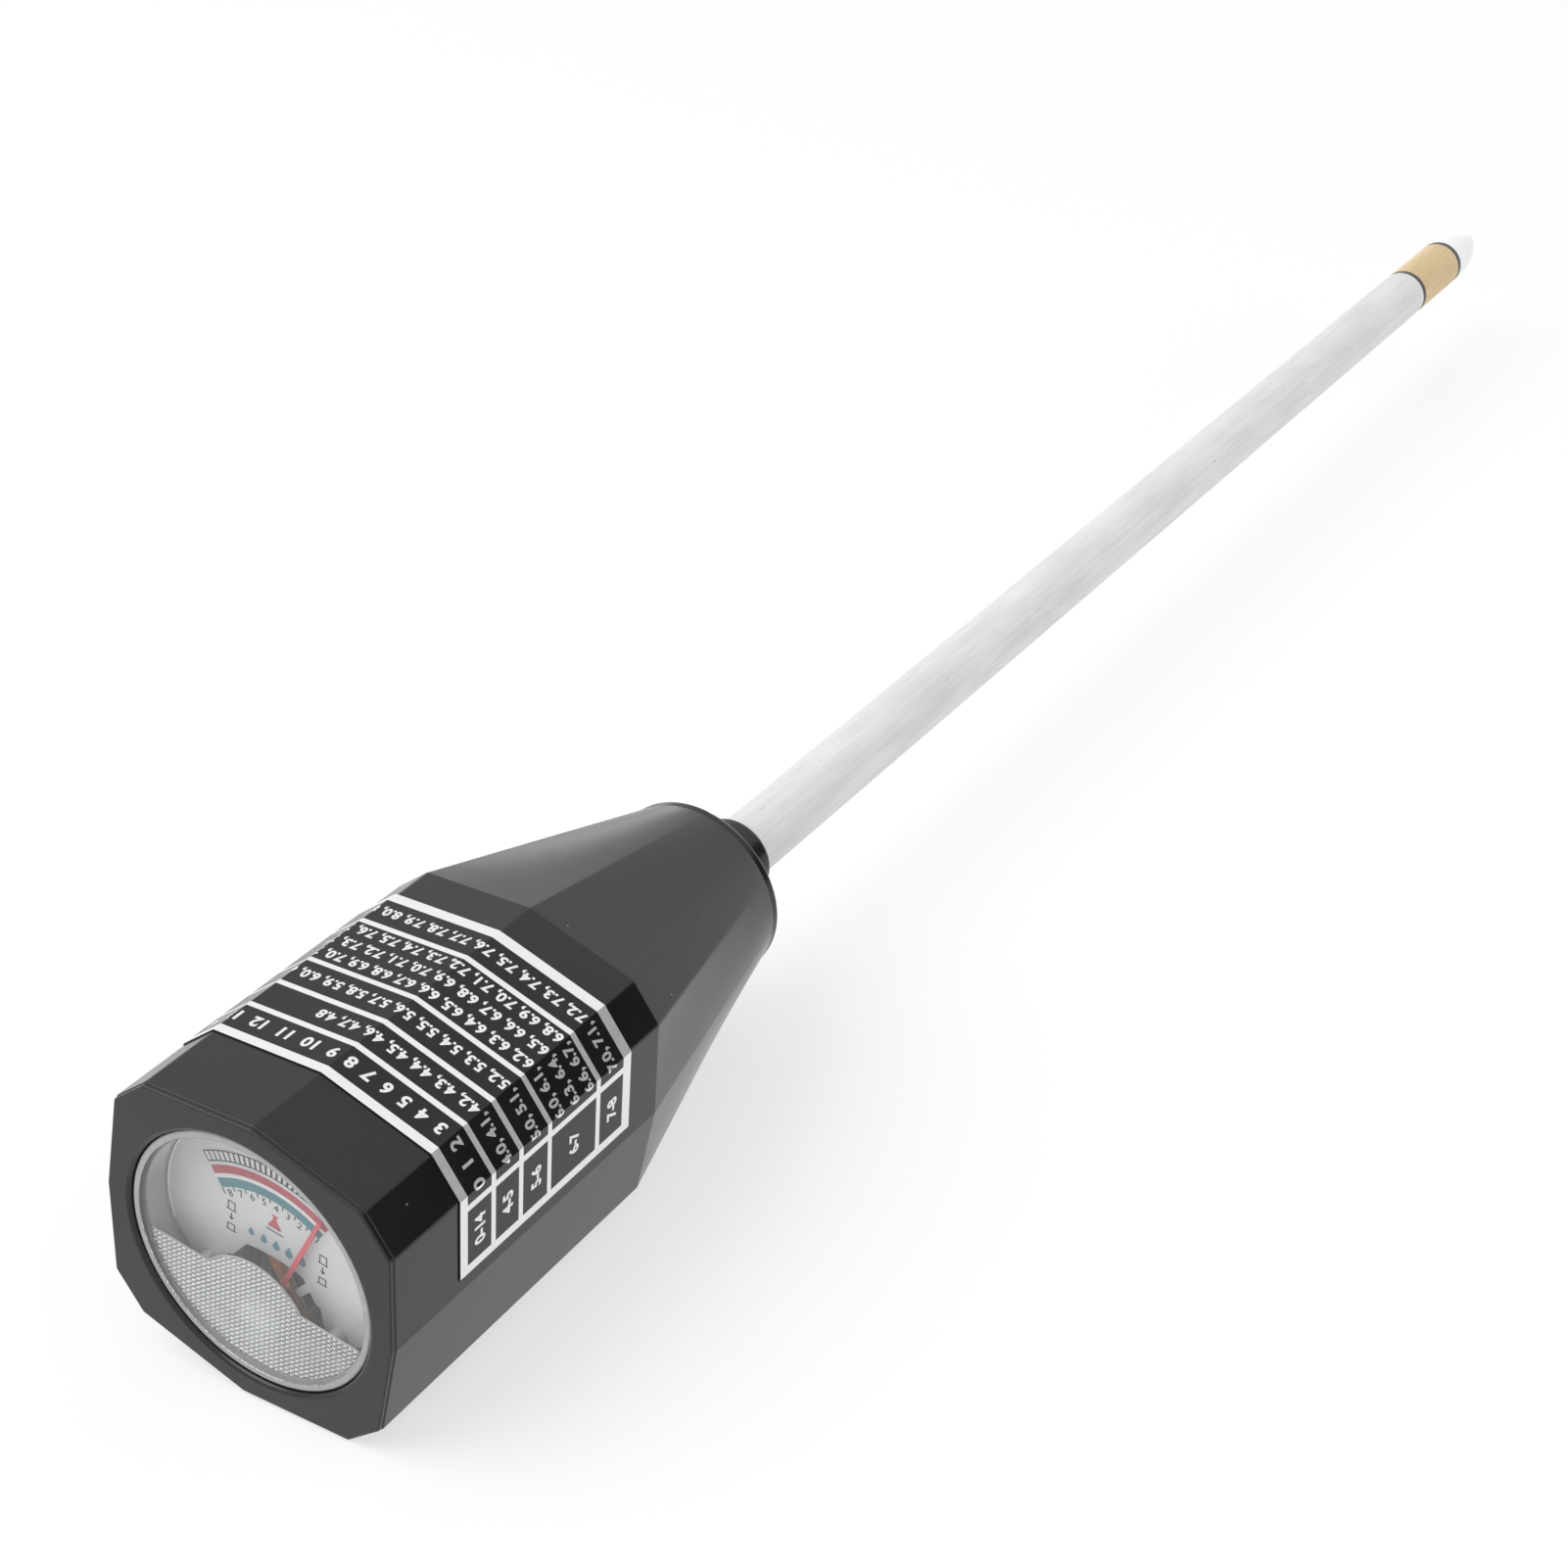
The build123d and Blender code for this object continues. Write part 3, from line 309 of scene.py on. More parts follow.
# %% Moulded and painted finishes
MOULDED = {
    "tip_plastic": ((0.84, 0.85, 0.865), (0.9, 0.905, 0.915), 0.36),
    "ring_plastic": ((0.045, 0.047, 0.05), (0.07, 0.072, 0.075), 0.45),
    "meter_plastic": ((0.5, 0.51, 0.52), (0.58, 0.59, 0.6), 0.4),
    "white_plastic": ((0.74, 0.74, 0.72), (0.82, 0.82, 0.8), 0.4),
    "needle_paint": ((0.66, 0.1, 0.13), (0.72, 0.13, 0.16), 0.42),
    "lead_red": ((0.4, 0.015, 0.015), (0.5, 0.03, 0.025), 0.4),
    "lead_white": ((0.7, 0.7, 0.66), (0.8, 0.8, 0.77), 0.4),
    "lead_black": ((0.012, 0.012, 0.013), (0.022, 0.022, 0.024), 0.4),
}
for name, (darker, lighter, gloss) in MOULDED.items():
    wire = new_finish(name)
    drift = grain(wire, 160.0, 3.0)
    coat(wire, {
        "Base Color": tint(drift, darker, lighter),
        "Roughness": gloss + 0.1 * drift,
        "Normal": relief(grain(wire, 6000.0, 1.0), 0.00003, 0.25),
    })
print("moulded finishes:", len(MOULDED))

# %% [markdown]
# ## Metals
#
# Turned and stamped metal shows lines in the direction of the tool, and stains that dull it in patches.
# A mirror with noise on it would be too clean. Here long stretched noise draws the lines, and rounder noise
# draws the stains. The probe's tube has a recipe of its own: it was drawn through a die, so its lines run
# lengthwise, it is duller and more even than turned metal, and use has left a few dark nicks in it.

# %% Metal finishes
METALS = {
    "band_brass": ((0.58, 0.425, 0.215), (0.72, 0.55, 0.325), 0.42, (1.0, 0.05, 1.0), 0.3),
    "steel": ((0.42, 0.42, 0.43), (0.6, 0.6, 0.61), 0.3, (1.0, 0.2, 1.0), 1.0),
    "brass": ((0.5, 0.33, 0.12), (0.68, 0.48, 0.2), 0.3, (1.0, 0.2, 1.0), 1.0),
    "spring_bronze": ((0.42, 0.24, 0.1), (0.6, 0.38, 0.18), 0.3, (1.0, 0.2, 1.0), 1.0),
    # The near-white bare edge is the dial's cut edge with a painted highlight on it.
    "bare_edge_highlight": ((0.9, 0.9, 0.9), (0.97, 0.97, 0.97), 0.3, (1.0, 1.0, 1.0), 0.25),
    "magnet": ((0.11, 0.11, 0.115), (0.19, 0.19, 0.2), 0.4, (1.0, 1.0, 1.0), 0.9),
}
for name, (darker, lighter, gloss, stretch, metallic) in METALS.items():
    wire = new_finish(name)
    lines = grain(wire, 5200.0, 3.0, stretch)
    stains = grain(wire, 240.0, 4.0, tuple(math.sqrt(x) for x in stretch))
    coat(wire, {
        "Base Color": tint(ramp(0.45 * lines + 0.55 * stains, 0.3, 0.68), darker, lighter),
        "Metallic": metallic,
        "Roughness": gloss + 0.16 * stains,
        "Normal": relief(lines, 0.00004, 0.3),
    })

TUBE_DARK, TUBE_LIGHT, NICK = (0.66, 0.66, 0.66), (0.77, 0.77, 0.77), (0.42, 0.42, 0.42)
wire = new_finish("tube_metal")
lines = grain(wire, 2100.0, 3.0, (1.0, 0.03, 1.0))
stains = grain(wire, 210.0, 4.0, (1.0, 0.3, 1.0))
nicks = ramp(grain(wire, 2600.0, 1.0, (1.0, 0.12, 1.0)), 0.74, 0.82)
drawn = tint(ramp(0.5 * lines + 0.5 * stains, 0.32, 0.68), TUBE_DARK, TUBE_LIGHT)
coat(wire, {
    "Base Color": tint(nicks, drawn, NICK),
    "Metallic": 0.1,
    "Roughness": 0.58 + 0.16 * stains,
    "Specular IOR Level": 0.2,
    "Normal": relief(lines, 0.00004, 0.3),
})
print("metal finishes:", len(METALS) + 1)

# %% [markdown]
# ## The inner parts' own finishes
#
# The coil is wound from enamelled copper wire, the switch sits on a laminate board, and the resistor is a
# small lacquered body with colour rings. Nobody sees them unless the head is opened, but an opened model
# should still show what they are, so each gets its mark: windings, weave and rings.

# %% Winding, board and resistor
wire = new_finish("copper_wire")
turns = wire.node("ShaderNodeTexWave", {"bands_direction": "Y"},
                  {"Vector": place_on(wire), "Scale": 2600.0, "Distortion": 1.2, "Detail": 2.0})
coat(wire, {
    "Base Color": tint(turns, (0.72, 0.24, 0.1), (0.95, 0.5, 0.28)),
    "Metallic": 0.5,
    "Roughness": 0.3 + 0.2 * turns,
    "Normal": relief(turns, 0.00006, 0.6),
})

wire = new_finish("board_laminate")
weave = wire.node("ShaderNodeTexBrick", None,
                  {"Vector": place_on(wire), "Scale": 900.0, "Mortar Size": 0.06}, out="Fac")
coat(wire, {
    "Base Color": tint(grain(wire, 300.0, 3.0), (0.16, 0.075, 0.02), (0.25, 0.13, 0.045)),
    "Roughness": 0.42 + 0.2 * weave,
    "Normal": relief(weave, 0.00004, 0.4),
})

body_low, body_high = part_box("shunt_resistor")
wire = new_finish("resistor_body")
rings = wire.node("ShaderNodeTexWave", {"bands_direction": "Y"},
                  {"Vector": place_on(wire), "Scale": 160.0, "Distortion": 0.0}, out="Fac")
coat(wire, {
    "Base Color": tint(ramp(rings, 0.75, 0.8), (0.56, 0.42, 0.26), (0.33, 0.06, 0.03)),
    "Roughness": 0.3 + 0.15 * grain(wire, 700.0, 2.0),
})
print("resistor length in mm:", round(1000 * max(body_high - body_low), 1))

# %% [markdown]
# ## The window: clear plastic
#
# The meter is closed by a clear moulded cup. Blender's glass shader alone would throw a full shadow on the
# dial, because a shadow ray does not bend. So the shader is mixed with a plain transparent one that only
# shadow rays see. Faint wipe marks in the gloss keep it from looking like an empty hole.

# %% Clear window finish
wire = new_finish("clear_plastic")
wipes = grain(wire, 380.0, 3.0, (1.0, 1.0, 0.25))
glass = wire.node("ShaderNodeBsdfPrincipled", None, {
    "Base Color": (0.985, 0.99, 0.99, 1.0),
    "Roughness": 0.05 * ramp(wipes, 0.5, 0.85),
    "IOR": 1.5,
    "Specular Tint": (0.5, 0.5, 0.5, 1.0),
    "Transmission Weight": 1.0,
})
shade_ray = wire.node("ShaderNodeLightPath", out="Is Shadow Ray")
open_air = wire.node("ShaderNodeBsdfTransparent", None, {"Color": (0.95, 0.96, 0.96, 1.0)})
clear = wire.node("ShaderNodeMixShader", None, {0: shade_ray, 1: glass, 2: open_air})
wire.node("ShaderNodeOutputMaterial", None, {"Surface": clear})
print("window finish mixes glass with open air for shadow rays")

# %% [markdown]
# ## Dial, film and print
#
# The dial is a stamped plate sprayed silver grey, with a fine fleck in the paint, and its inks are plain
# colours. The list is printed in silvery ink on a black film, so the print goes grey on a facet that mirrors
# something dark. Real ink is never quite even, so each print colour drifts a little in strength.

# %% Dial, film and ink finishes
wire = new_finish("dial_metal")
fleck = grain(wire, 5200.0, 2.0)
drift = grain(wire, 90.0, 2.0)
coat(wire, {
    "Base Color": tint(0.6 * fleck + 0.4 * drift, (0.66, 0.665, 0.67), (0.83, 0.835, 0.84)),
    "Metallic": 0.25,
    "Roughness": 0.42 + 0.12 * drift,
    "Normal": relief(fleck, 0.00002, 0.3),
})

wire = new_finish("label_film")
drift = grain(wire, 120.0, 3.0)
coat(wire, {
    "Base Color": tint(drift, (0.006, 0.006, 0.0065), (0.0105, 0.0105, 0.0115)),
    "Roughness": 0.2 + 0.1 * drift,
    "Specular IOR Level": 0.3,
    "Normal": relief(grain(wire, 2500.0, 2.0), 0.00003, 0.15),
})

wire = new_finish("list_print")
cover = grain(wire, 1500.0, 3.0)
coat(wire, {
    "Base Color": tint(cover, (0.78, 0.785, 0.79), (0.86, 0.865, 0.87)),
    "Metallic": 0.72,
    "Roughness": 0.28 + 0.08 * cover,
})

INKS = {
    "ink_white": ((0.76, 0.76, 0.76), (0.85, 0.85, 0.85)),
    "ink_dark": ((0.014, 0.014, 0.015), (0.03, 0.03, 0.032)),
    "ink_red": ((0.46, 0.085, 0.11), (0.54, 0.125, 0.15)),
    "ink_teal": ((0.085, 0.225, 0.265), (0.12, 0.27, 0.31)),
    "ink_blue": ((0.1, 0.23, 0.31), (0.14, 0.28, 0.36)),
}
for name, (darker, lighter) in INKS.items():
    wire = new_finish(name)
    cover = grain(wire, 1500.0, 3.0)
    coat(wire, {
        "Base Color": tint(cover, darker, lighter),
        "Roughness": 0.4 + 0.15 * cover,
        "Specular IOR Level": 0.2,
    })
print("inks:", sorted(INKS))

# %% [markdown]
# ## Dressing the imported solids
#
# The record names a material slot for every node, and the finishes above carry the same names. So the
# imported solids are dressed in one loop: the shape stays the CAD's, and only the slot's material changes.

# %% Dress every node
for row in frame["record"]["subparts"]:
    node = frame["nodes"][row["node"]]
    for place in node.material_slots:
        place.material = finishes[row["material_slot"]]
    if not node.material_slots:
        node.data.materials.append(finishes[row["material_slot"]])

# %% [markdown]
# ## Print as thin layers
#
# Print could be a picture on the surface, but a picture needs an image file. Real silk-screen ink is a
# layer that stands a few hundredths of a millimetre proud. So print is drawn as flat faces in its own plane,
# raised into a thin closed layer, and then laid on by a function that knows where the surface is.

# %% Flat drawing tools
def draw(flat, *polygons):
    """Add polygons, each a list of (x, y) in mm, to a flat drawing."""
    for points in polygons:
        flat.faces.new([flat.verts.new((x, y, 0.0)) for x, y in points])


def bar(x0, y0, x1, y1):
    return [(x0, y0), (x1, y0), (x1, y1), (x0, y1)]


def stroke(a, b, width):
    """A straight line of some width from a to b."""
    run = Vector((b[0] - a[0], b[1] - a[1])).normalized() * (width / 2)
    side = Vector((-run.y, run.x))
    return [(a[0] - side.x, a[1] - side.y), (b[0] - side.x, b[1] - side.y),
            (b[0] + side.x, b[1] + side.y), (a[0] + side.x, a[1] + side.y)]


def draw_numbers(flat, body, height, middle, turn=0.0, bold=0.0, narrow=1.0, start=False):
    """Add a line of numbers: `height` mm tall, its middle, or its start, at a point."""
    words = bpy.data.curves.new("numbers", "FONT")
    words.body, words.offset, words.resolution_u = body, bold, 3
    holder = bpy.data.objects.new("numbers", words)
    mesh = bpy.data.meshes.new_from_object(holder)
    xs, ys = [v.co.x for v in mesh.vertices], [v.co.y for v in mesh.vertices]
    size = height / (max(ys) - min(ys))
    anchor = min(xs) if start else (min(xs) + max(xs)) / 2
    mesh.transform(Matrix.Translation((*middle, 0.0)) @ Matrix.Rotation(turn, 4, "Z")
                   @ Matrix.Diagonal((size * narrow, size, 0.0, 1.0))
                   @ Matrix.Translation((-anchor, -(min(ys) + max(ys)) / 2, 0.0)))
    flat.from_mesh(mesh)
    bpy.data.objects.remove(holder)
    bpy.data.curves.remove(words)
    bpy.data.meshes.remove(mesh)


def lay_print(name, flat, lay, finish, height=0.02, sink=0.01):
    """Raise a flat drawing into a thin closed layer, and lay it on its surface."""
    bmesh.ops.remove_doubles(flat, verts=flat.verts, dist=0.0002)
    bmesh.ops.recalc_face_normals(flat, faces=flat.faces)
    edges = [e for e in flat.edges if e.is_boundary]
    faces, verts = list(flat.faces), list(flat.verts)
    below = {v: flat.verts.new((v.co.x, v.co.y, -sink)) for v in verts}
    for v in verts:
        v.co.z = height
    for f in faces:
        flat.faces.new([below[v] for v in reversed(f.verts)])
    for e in edges:
        a, b = e.verts
        flat.faces.new((a, b, below[b], below[a]))
    for v in flat.verts:
        v.co = lay(*v.co)
    bmesh.ops.recalc_face_normals(flat, faces=flat.faces)
    mesh = bpy.data.meshes.new(name)
    flat.to_mesh(mesh)
    flat.free()
    mesh.shade_flat()
    mesh.materials.append(finishes[finish])
    piece = bpy.data.objects.new(name, mesh)
    bpy.context.scene.collection.objects.link(piece)
    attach(piece, "head")
    print(name, "faces:", len(mesh.polygons))
    return piece


print("print tools ready")

# %% [markdown]
# ## The list label
#
# The film wraps over the head's upper facets, so its print bends at each crease. The drawing is made flat, on
# the unrolled strip: one way round the head, the other way along it. It is cut at the creases before it is
# laid, so that every face stays flat on its facet. The table's rows hold plain numbers.

# %% The unrolled strip
FILM = 0.18
corners = [(-x, y) for x, y in HEAD_RIGHT[:3]] + [HEAD_RIGHT[3]] + HEAD_RIGHT[2::-1]
corners = [Vector(c) for c in corners]


def offset_corners(points, out):
    """The same row of facets, moved outwards by out mm."""
    moved = []
    for i, p in enumerate(points):
        legs = [(points[j + 1] - points[j]).normalized() for j in (i - 1, i) if 0 <= j < len(points) - 1]
        sides = [Vector((-leg.y, leg.x)) for leg in legs]
        middle = sum(sides, Vector((0.0, 0.0))).normalized()
        moved.append(p + middle * (out / middle.dot(sides[0])))
    return moved


runs = [(b - a).length for a, b in zip(corners, corners[1:])]
creases = [sum(runs[:i]) - runs[0] for i in range(len(corners))]


def on_label(u, s, h):
    """A point of the strip: u mm round the head from the left shoulder, s mm back, h mm above the film."""
    i = max(i for i in range(len(runs)) if i == 0 or creases[i] <= u + 1e-6)
    outer = offset_corners(corners, FILM + h)
    p = outer[i].lerp(outer[i + 1], (u - creases[i]) / runs[i])
    return at(p.x, p.y, s)


print("creases of the strip in mm:", [round(c, 2) for c in creases])

# %% Rules and numbers of the list
ROUND = [(-1.2, -0.35), (46.85, 47.8), (56.0, 57.25)]
ALONG = [(12.15, 13.5), (17.95, 18.78), (23.22, 24.05), (28.84, 29.62), (38.62, 39.46), (44.2, 45.8)]
rules = [(ROUND[0][0], a, ROUND[2][1], b) for a, b in ALONG]
rules += [(a, ALONG[0][0], b, ALONG[-1][1]) for a, b in ROUND]


def covered_cells(boxes, cuts):
    """The cells of a grid that the boxes cover, so that crossing rules share one clean mesh."""
    xs = sorted({x for b in boxes for x in (b[0], b[2])} | set(cuts))
    ys = sorted({y for b in boxes for y in (b[1], b[3])})
    for x0, x1 in zip(xs, xs[1:]):
        for y0, y1 in zip(ys, ys[1:]):
            x, y = (x0 + x1) / 2, (y0 + y1) / 2
            if any(b[0] < x < b[2] and b[1] < y < b[3] for b in boxes):
                yield bar(x0, y0, x1, y1)


inner_creases = [c for c in creases if rules[0][0] < c < rules[0][2]]
table = bmesh.new()
draw(table, *covered_cells(rules, inner_creases))
lay_print("list_rules", table, on_label, "list_print")


def tenths(first, count):
    """A row of plain numbers that climb by tenths."""
    return ", ".join(f"{first + i / 10:.1f}" for i in range(count))


READS_TOWARDS_LEFT = Matrix.Rotation(math.pi, 4, "Z")
LINES = [
    ("0  1  2  3  4  5  6  7  8  9  10  11  12  13  14", 15.85, 1.0),
    (tenths(4.0, 9), 21.2, 0.95),
    (tenths(5.0, 12), 26.65, 0.95),
    (tenths(6.0, 12), 31.35, 0.95),
    (tenths(6.3, 12), 34.35, 0.95),
    (tenths(6.6, 12), 37.3, 0.95),
    (tenths(7.0, 12), 42.1, 0.95),
]
BOXES = [("0-14", 15.8), ("4-5", 21.1), ("5-6", 26.6), ("6-7", 34.2), ("7-8", 42.0)]
LINE_START, BOX_MIDDLE, BOX_NARROW = 45.9, 51.9, 0.95
LIST_HEIGHT, LIST_BOLD = 2.0, 0.034
numbers = bmesh.new()
for body, s, narrow in LINES:
    draw_numbers(numbers, body, LIST_HEIGHT, (-LINE_START, -s), bold=LIST_BOLD, narrow=narrow, start=True)
for body, s in BOXES:
    draw_numbers(numbers, body, LIST_HEIGHT, (-BOX_MIDDLE, -s), bold=LIST_BOLD, narrow=BOX_NARROW)
for v in numbers.verts:
    v.co = READS_TOWARDS_LEFT @ v.co
for u in inner_creases:
    everything = numbers.verts[:] + numbers.edges[:] + numbers.faces[:]
    bmesh.ops.bisect_plane(numbers, geom=everything, plane_co=(u, 0, 0), plane_no=(1, 0, 0), dist=0.0005)
lay_print("list_numbers", numbers, on_label, "list_print")

# %% [markdown]
# ## The dial's print
#
# The scale is made of arcs about one point a little above the needle's pivot: a ladder of white cells, a
# red band and a blue-green band with its numbers. Bands are cut into short straight pieces, fine enough to
# look round. Symbols tell the readings apart: a flask, a row of drops, and the button let go and pressed.

# %% Bands and ladder of the dial
DIAL_FRONT = 1000 * (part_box("dial_plate")[0].y - face.y)
SCALE_MIDDLE = (-0.28, -7.38)
LADDER, RED, WHITE, TEAL = (17.27, 18.5), (15.46, 16.6), (14.87, 15.46), (13.58, 14.87)
SCALE_LEFT, SCALE_RIGHT, LADDER_RIGHT = 125.5, 60.8, 71.3


def on_dial(w, v, h):
    return at(w, v, DIAL_FRONT - h)


def polar(radius, angle):
    turn = math.radians(angle)
    return SCALE_MIDDLE[0] + radius * math.cos(turn), SCALE_MIDDLE[1] + radius * math.sin(turn)


def arc_band(radii, left, right, step=1.2):
    """Quads of a band between two radii, from one angle to another."""
    count = max(1, round((left - right) / step))
    turns = [left + (right - left) * i / count for i in range(count + 1)]
    for a, b in zip(turns, turns[1:]):
        yield [polar(radii[0], a), polar(radii[1], a), polar(radii[1], b), polar(radii[0], b)]


white = bmesh.new()
draw(white, *arc_band(LADDER, SCALE_LEFT, LADDER_RIGHT), *arc_band(WHITE, SCALE_LEFT, SCALE_RIGHT))
lay_print("dial_white", white, on_dial, "ink_white", height=0.01)
red = bmesh.new()
draw(red, *arc_band(RED, SCALE_LEFT, SCALE_RIGHT))
lay_print("dial_red_band", red, on_dial, "ink_red")
teal = bmesh.new()
draw(teal, *arc_band(TEAL, SCALE_LEFT, SCALE_RIGHT))
lay_print("dial_teal_band", teal, on_dial, "ink_teal")

# %% Lines, numbers and symbols of the dial
LINE, LINE_GROWTH = 0.16, 0.012
LADDER_LINES, LADDER_STEP = 22, 2.58
FIRST_NUMBER, NUMBERS, NUMBER_HEIGHT = 8, 7, 1.05
NUMBER_RADIUS, NUMBER_STEP, NUMBER_LEFT = 12.75, 8.1, 121.2
TICK, END_TICK = 13.0, 12.7
dark = bmesh.new()
draw(dark, *arc_band((LADDER[0] - LINE, LADDER[0]), SCALE_LEFT, LADDER_RIGHT))
draw(dark, *arc_band((LADDER[1], LADDER[1] + LINE), SCALE_LEFT, LADDER_RIGHT))
for i in range(LADDER_LINES):
    angle = SCALE_LEFT - LADDER_STEP * i
    draw(dark, stroke(polar(LADDER[0], angle), polar(LADDER[1], angle), LINE + LINE_GROWTH * i))
for angle in (SCALE_LEFT, SCALE_RIGHT):
    draw(dark, stroke(polar(END_TICK, angle), polar(TEAL[0], angle), LINE))
for i in range(NUMBERS):
    tick = NUMBER_LEFT - NUMBER_STEP * (i + 0.5)
    draw(dark, stroke(polar(TICK, tick), polar(TEAL[0], tick), LINE))
    number = NUMBER_LEFT - NUMBER_STEP * i
    draw_numbers(dark, str(FIRST_NUMBER - i), NUMBER_HEIGHT, polar(NUMBER_RADIUS, number),
                 math.radians(number - 90))


def button_sign(x, y):
    """A button standing proud of a line, an arrow, and the same button pushed in. Sizes in mm."""
    line_half, button_half, top_half = 0.75, 0.5, 0.58
    for foot, tall in ((y + 0.9, 1.3), (y - 2.4, 1.0)):
        yield stroke((x - line_half, foot), (x + line_half, foot), LINE)
        yield stroke((x - button_half, foot), (x - button_half, foot + tall), LINE)
        yield stroke((x + button_half, foot), (x + button_half, foot + tall), LINE)
        yield stroke((x - top_half, foot + tall), (x + top_half, foot + tall), LINE)
    yield stroke((x, y + 0.45), (x, y - 0.45), LINE)
    yield [(x - 0.38, y - 0.25), (x, y - 0.75), (x + 0.38, y - 0.25)]


FLASK_LINE = ((-1.45, 1.47), (1.15, 1.47))
draw(dark, *button_sign(-6.65, 0.0), *button_sign(7.15, 0.0), stroke(*FLASK_LINE, LINE))
lay_print("dial_lines", dark, on_dial, "ink_dark", height=0.028)

# %% White finger, a flask for acid soil, drops for damp soil
FLASK, FIRST_DROP, DROP_STEP, DROP_SIZE, DROP_GROWTH, DROPS = (-0.15, 3.0), (-3.6, -0.8), 1.9, 0.44, 0.05, 5


def drop(x, y, size):
    """A water drop: a round foot that runs up to a point."""
    turns = [math.radians(a) for a in range(150, 391, 20)]
    return [(x + size * math.cos(a), y + size * math.sin(a)) for a in turns] + [(x, y + 2 * size)]


def flask(x, y):
    """A flask with a narrow neck, a lip and a wide foot. Sizes in mm."""
    yield bar(x - 0.5, y + 0.88, x + 0.5, y + 1.08)
    yield [(x - 0.3, y + 0.84), (x - 0.3, y + 0.3), (x - 1.0, y - 0.75), (x - 0.84, y - 1.0),
           (x + 0.84, y - 1.0), (x + 1.0, y - 0.75), (x + 0.3, y + 0.3), (x + 0.3, y + 0.84)]


def beside(point, angle):
    """A point half a finger's width away from another."""
    return point[0] + FINGER_HALF * math.cos(angle), point[1] + FINGER_HALF * math.sin(angle)


FINGER_ROOT, FINGER_TIP, FINGER_HALF = (5.3, -4.1), (3.85, -6.0), 0.52
lean = math.atan2(FINGER_TIP[1] - FINGER_ROOT[1], FINGER_TIP[0] - FINGER_ROOT[0])
outline = [beside(FINGER_TIP, lean - math.pi / 2 + math.pi * k / 10) for k in range(11)]
outline += [beside(FINGER_ROOT, lean + k * math.pi / 2) for k in (1, -1)]
finger = bmesh.new()
draw(finger, outline)
lay_print("zero_finger", finger, on_dial, "white_plastic", height=0.03)
acid = bmesh.new()
draw(acid, *flask(*FLASK))
lay_print("dial_flask", acid, on_dial, "ink_red")
damp = bmesh.new()
draw(damp, *(drop(FIRST_DROP[0] + DROP_STEP * i, FIRST_DROP[1], DROP_SIZE + DROP_GROWTH * i)
             for i in range(DROPS)))
lay_print("dial_drops", damp, on_dial, "ink_blue")

# %% [markdown]
# ## The window's cup
#
# One moulded cup closes the meter: a clear disc, and behind it a skirt with a flange that the front frame
# holds. The imported cup is one solid, and with one glass finish its skirt would only show the black case
# outside it. On the real cup the skirt and the rounded front edge look dull and light, from light caught and
# mirrored inside the clear plastic. So the cup is shown as two pieces, each spun from a profile of radius and
# depth: a rim with a thin collar in front, whose light grey is painted light, painted lighter towards the top,
# and a clear disc that is stepped to lie under that collar.

# %% Spin the clear disc and the dull rim round it
TURNS = 160
RIM_IN, RIM_OUT, FLANGE = 16.68, 17.88, (3.2, 4.4)
COLLAR_IN, COLLAR_DEEP, DISC_EDGE, WINDOW_BACK, PLAY = 16.98, 0.3, 17.8, 2.2, 0.02
cup_low, cup_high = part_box("meter_cover")
cup_front, cup_end = 1000 * (cup_low.y - face.y), 1000 * (cup_high.y - face.y)
flange = 500 * (cup_high.x - cup_low.x)


def show(name, drawing, finish, sharp=35):
    """Make a finished mesh into a piece that rides on the head."""
    bmesh.ops.recalc_face_normals(drawing, faces=drawing.faces)
    mesh = bpy.data.meshes.new(name)
    drawing.to_mesh(mesh)
    drawing.free()
    mesh.shade_smooth()
    mesh.set_sharp_from_angle(angle=math.radians(sharp))
    mesh.materials.append(finishes[finish])
    piece = bpy.data.objects.new(name, mesh)
    bpy.context.scene.collection.objects.link(piece)
    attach(piece, "head")
    print(name, "faces:", len(mesh.polygons))
    return piece


def spun(profile):
    """A closed form, turned about the head's axis from (radius, depth) in mm."""
    form = bmesh.new()
    rings = []
    for radius, s in profile:
        turns = [2 * math.pi * k / TURNS for k in range(TURNS if radius else 1)]
        rings.append([form.verts.new(at(radius * math.cos(a), radius * math.sin(a), s)) for a in turns])
    for near, far in zip(rings, rings[1:] + rings[:1]):
        for k in range(TURNS):
            ring = [near[k % len(near)], near[(k + 1) % len(near)],
                    far[(k + 1) % len(far)], far[k % len(far)]]
            ring = list(dict.fromkeys(ring))
            if len(ring) > 2:
                form.faces.new(ring)
    return form


def rounded(radius, s, size):
    """Points of a rounded front edge that ends at a radius."""
    turns = [math.radians(15 * k) for k in range(7)]
    return [(radius - size * (1 - math.sin(a)), s + size * (1 - math.cos(a))) for a in turns]


# The rim's light grey is painted light: it stands in for light caught and mirrored in the clear skirt.
wire = new_finish("rim_plastic")
streaks = grain(wire, 900.0, 3.0, (1.0, 4.0, 1.0))
collar_tone = tint(streaks, (0.29, 0.295, 0.295), (0.41, 0.415, 0.415))
painted_dim_tone = tint(streaks, (0.42, 0.43, 0.43), (0.52, 0.53, 0.53))
painted_lit_tone = tint(streaks, (0.72, 0.73, 0.73), (0.84, 0.85, 0.85))
behind_disc = ramp(along(wire, back), (WINDOW_BACK + 0.1) * MM, (WINDOW_BACK + 0.5) * MM)
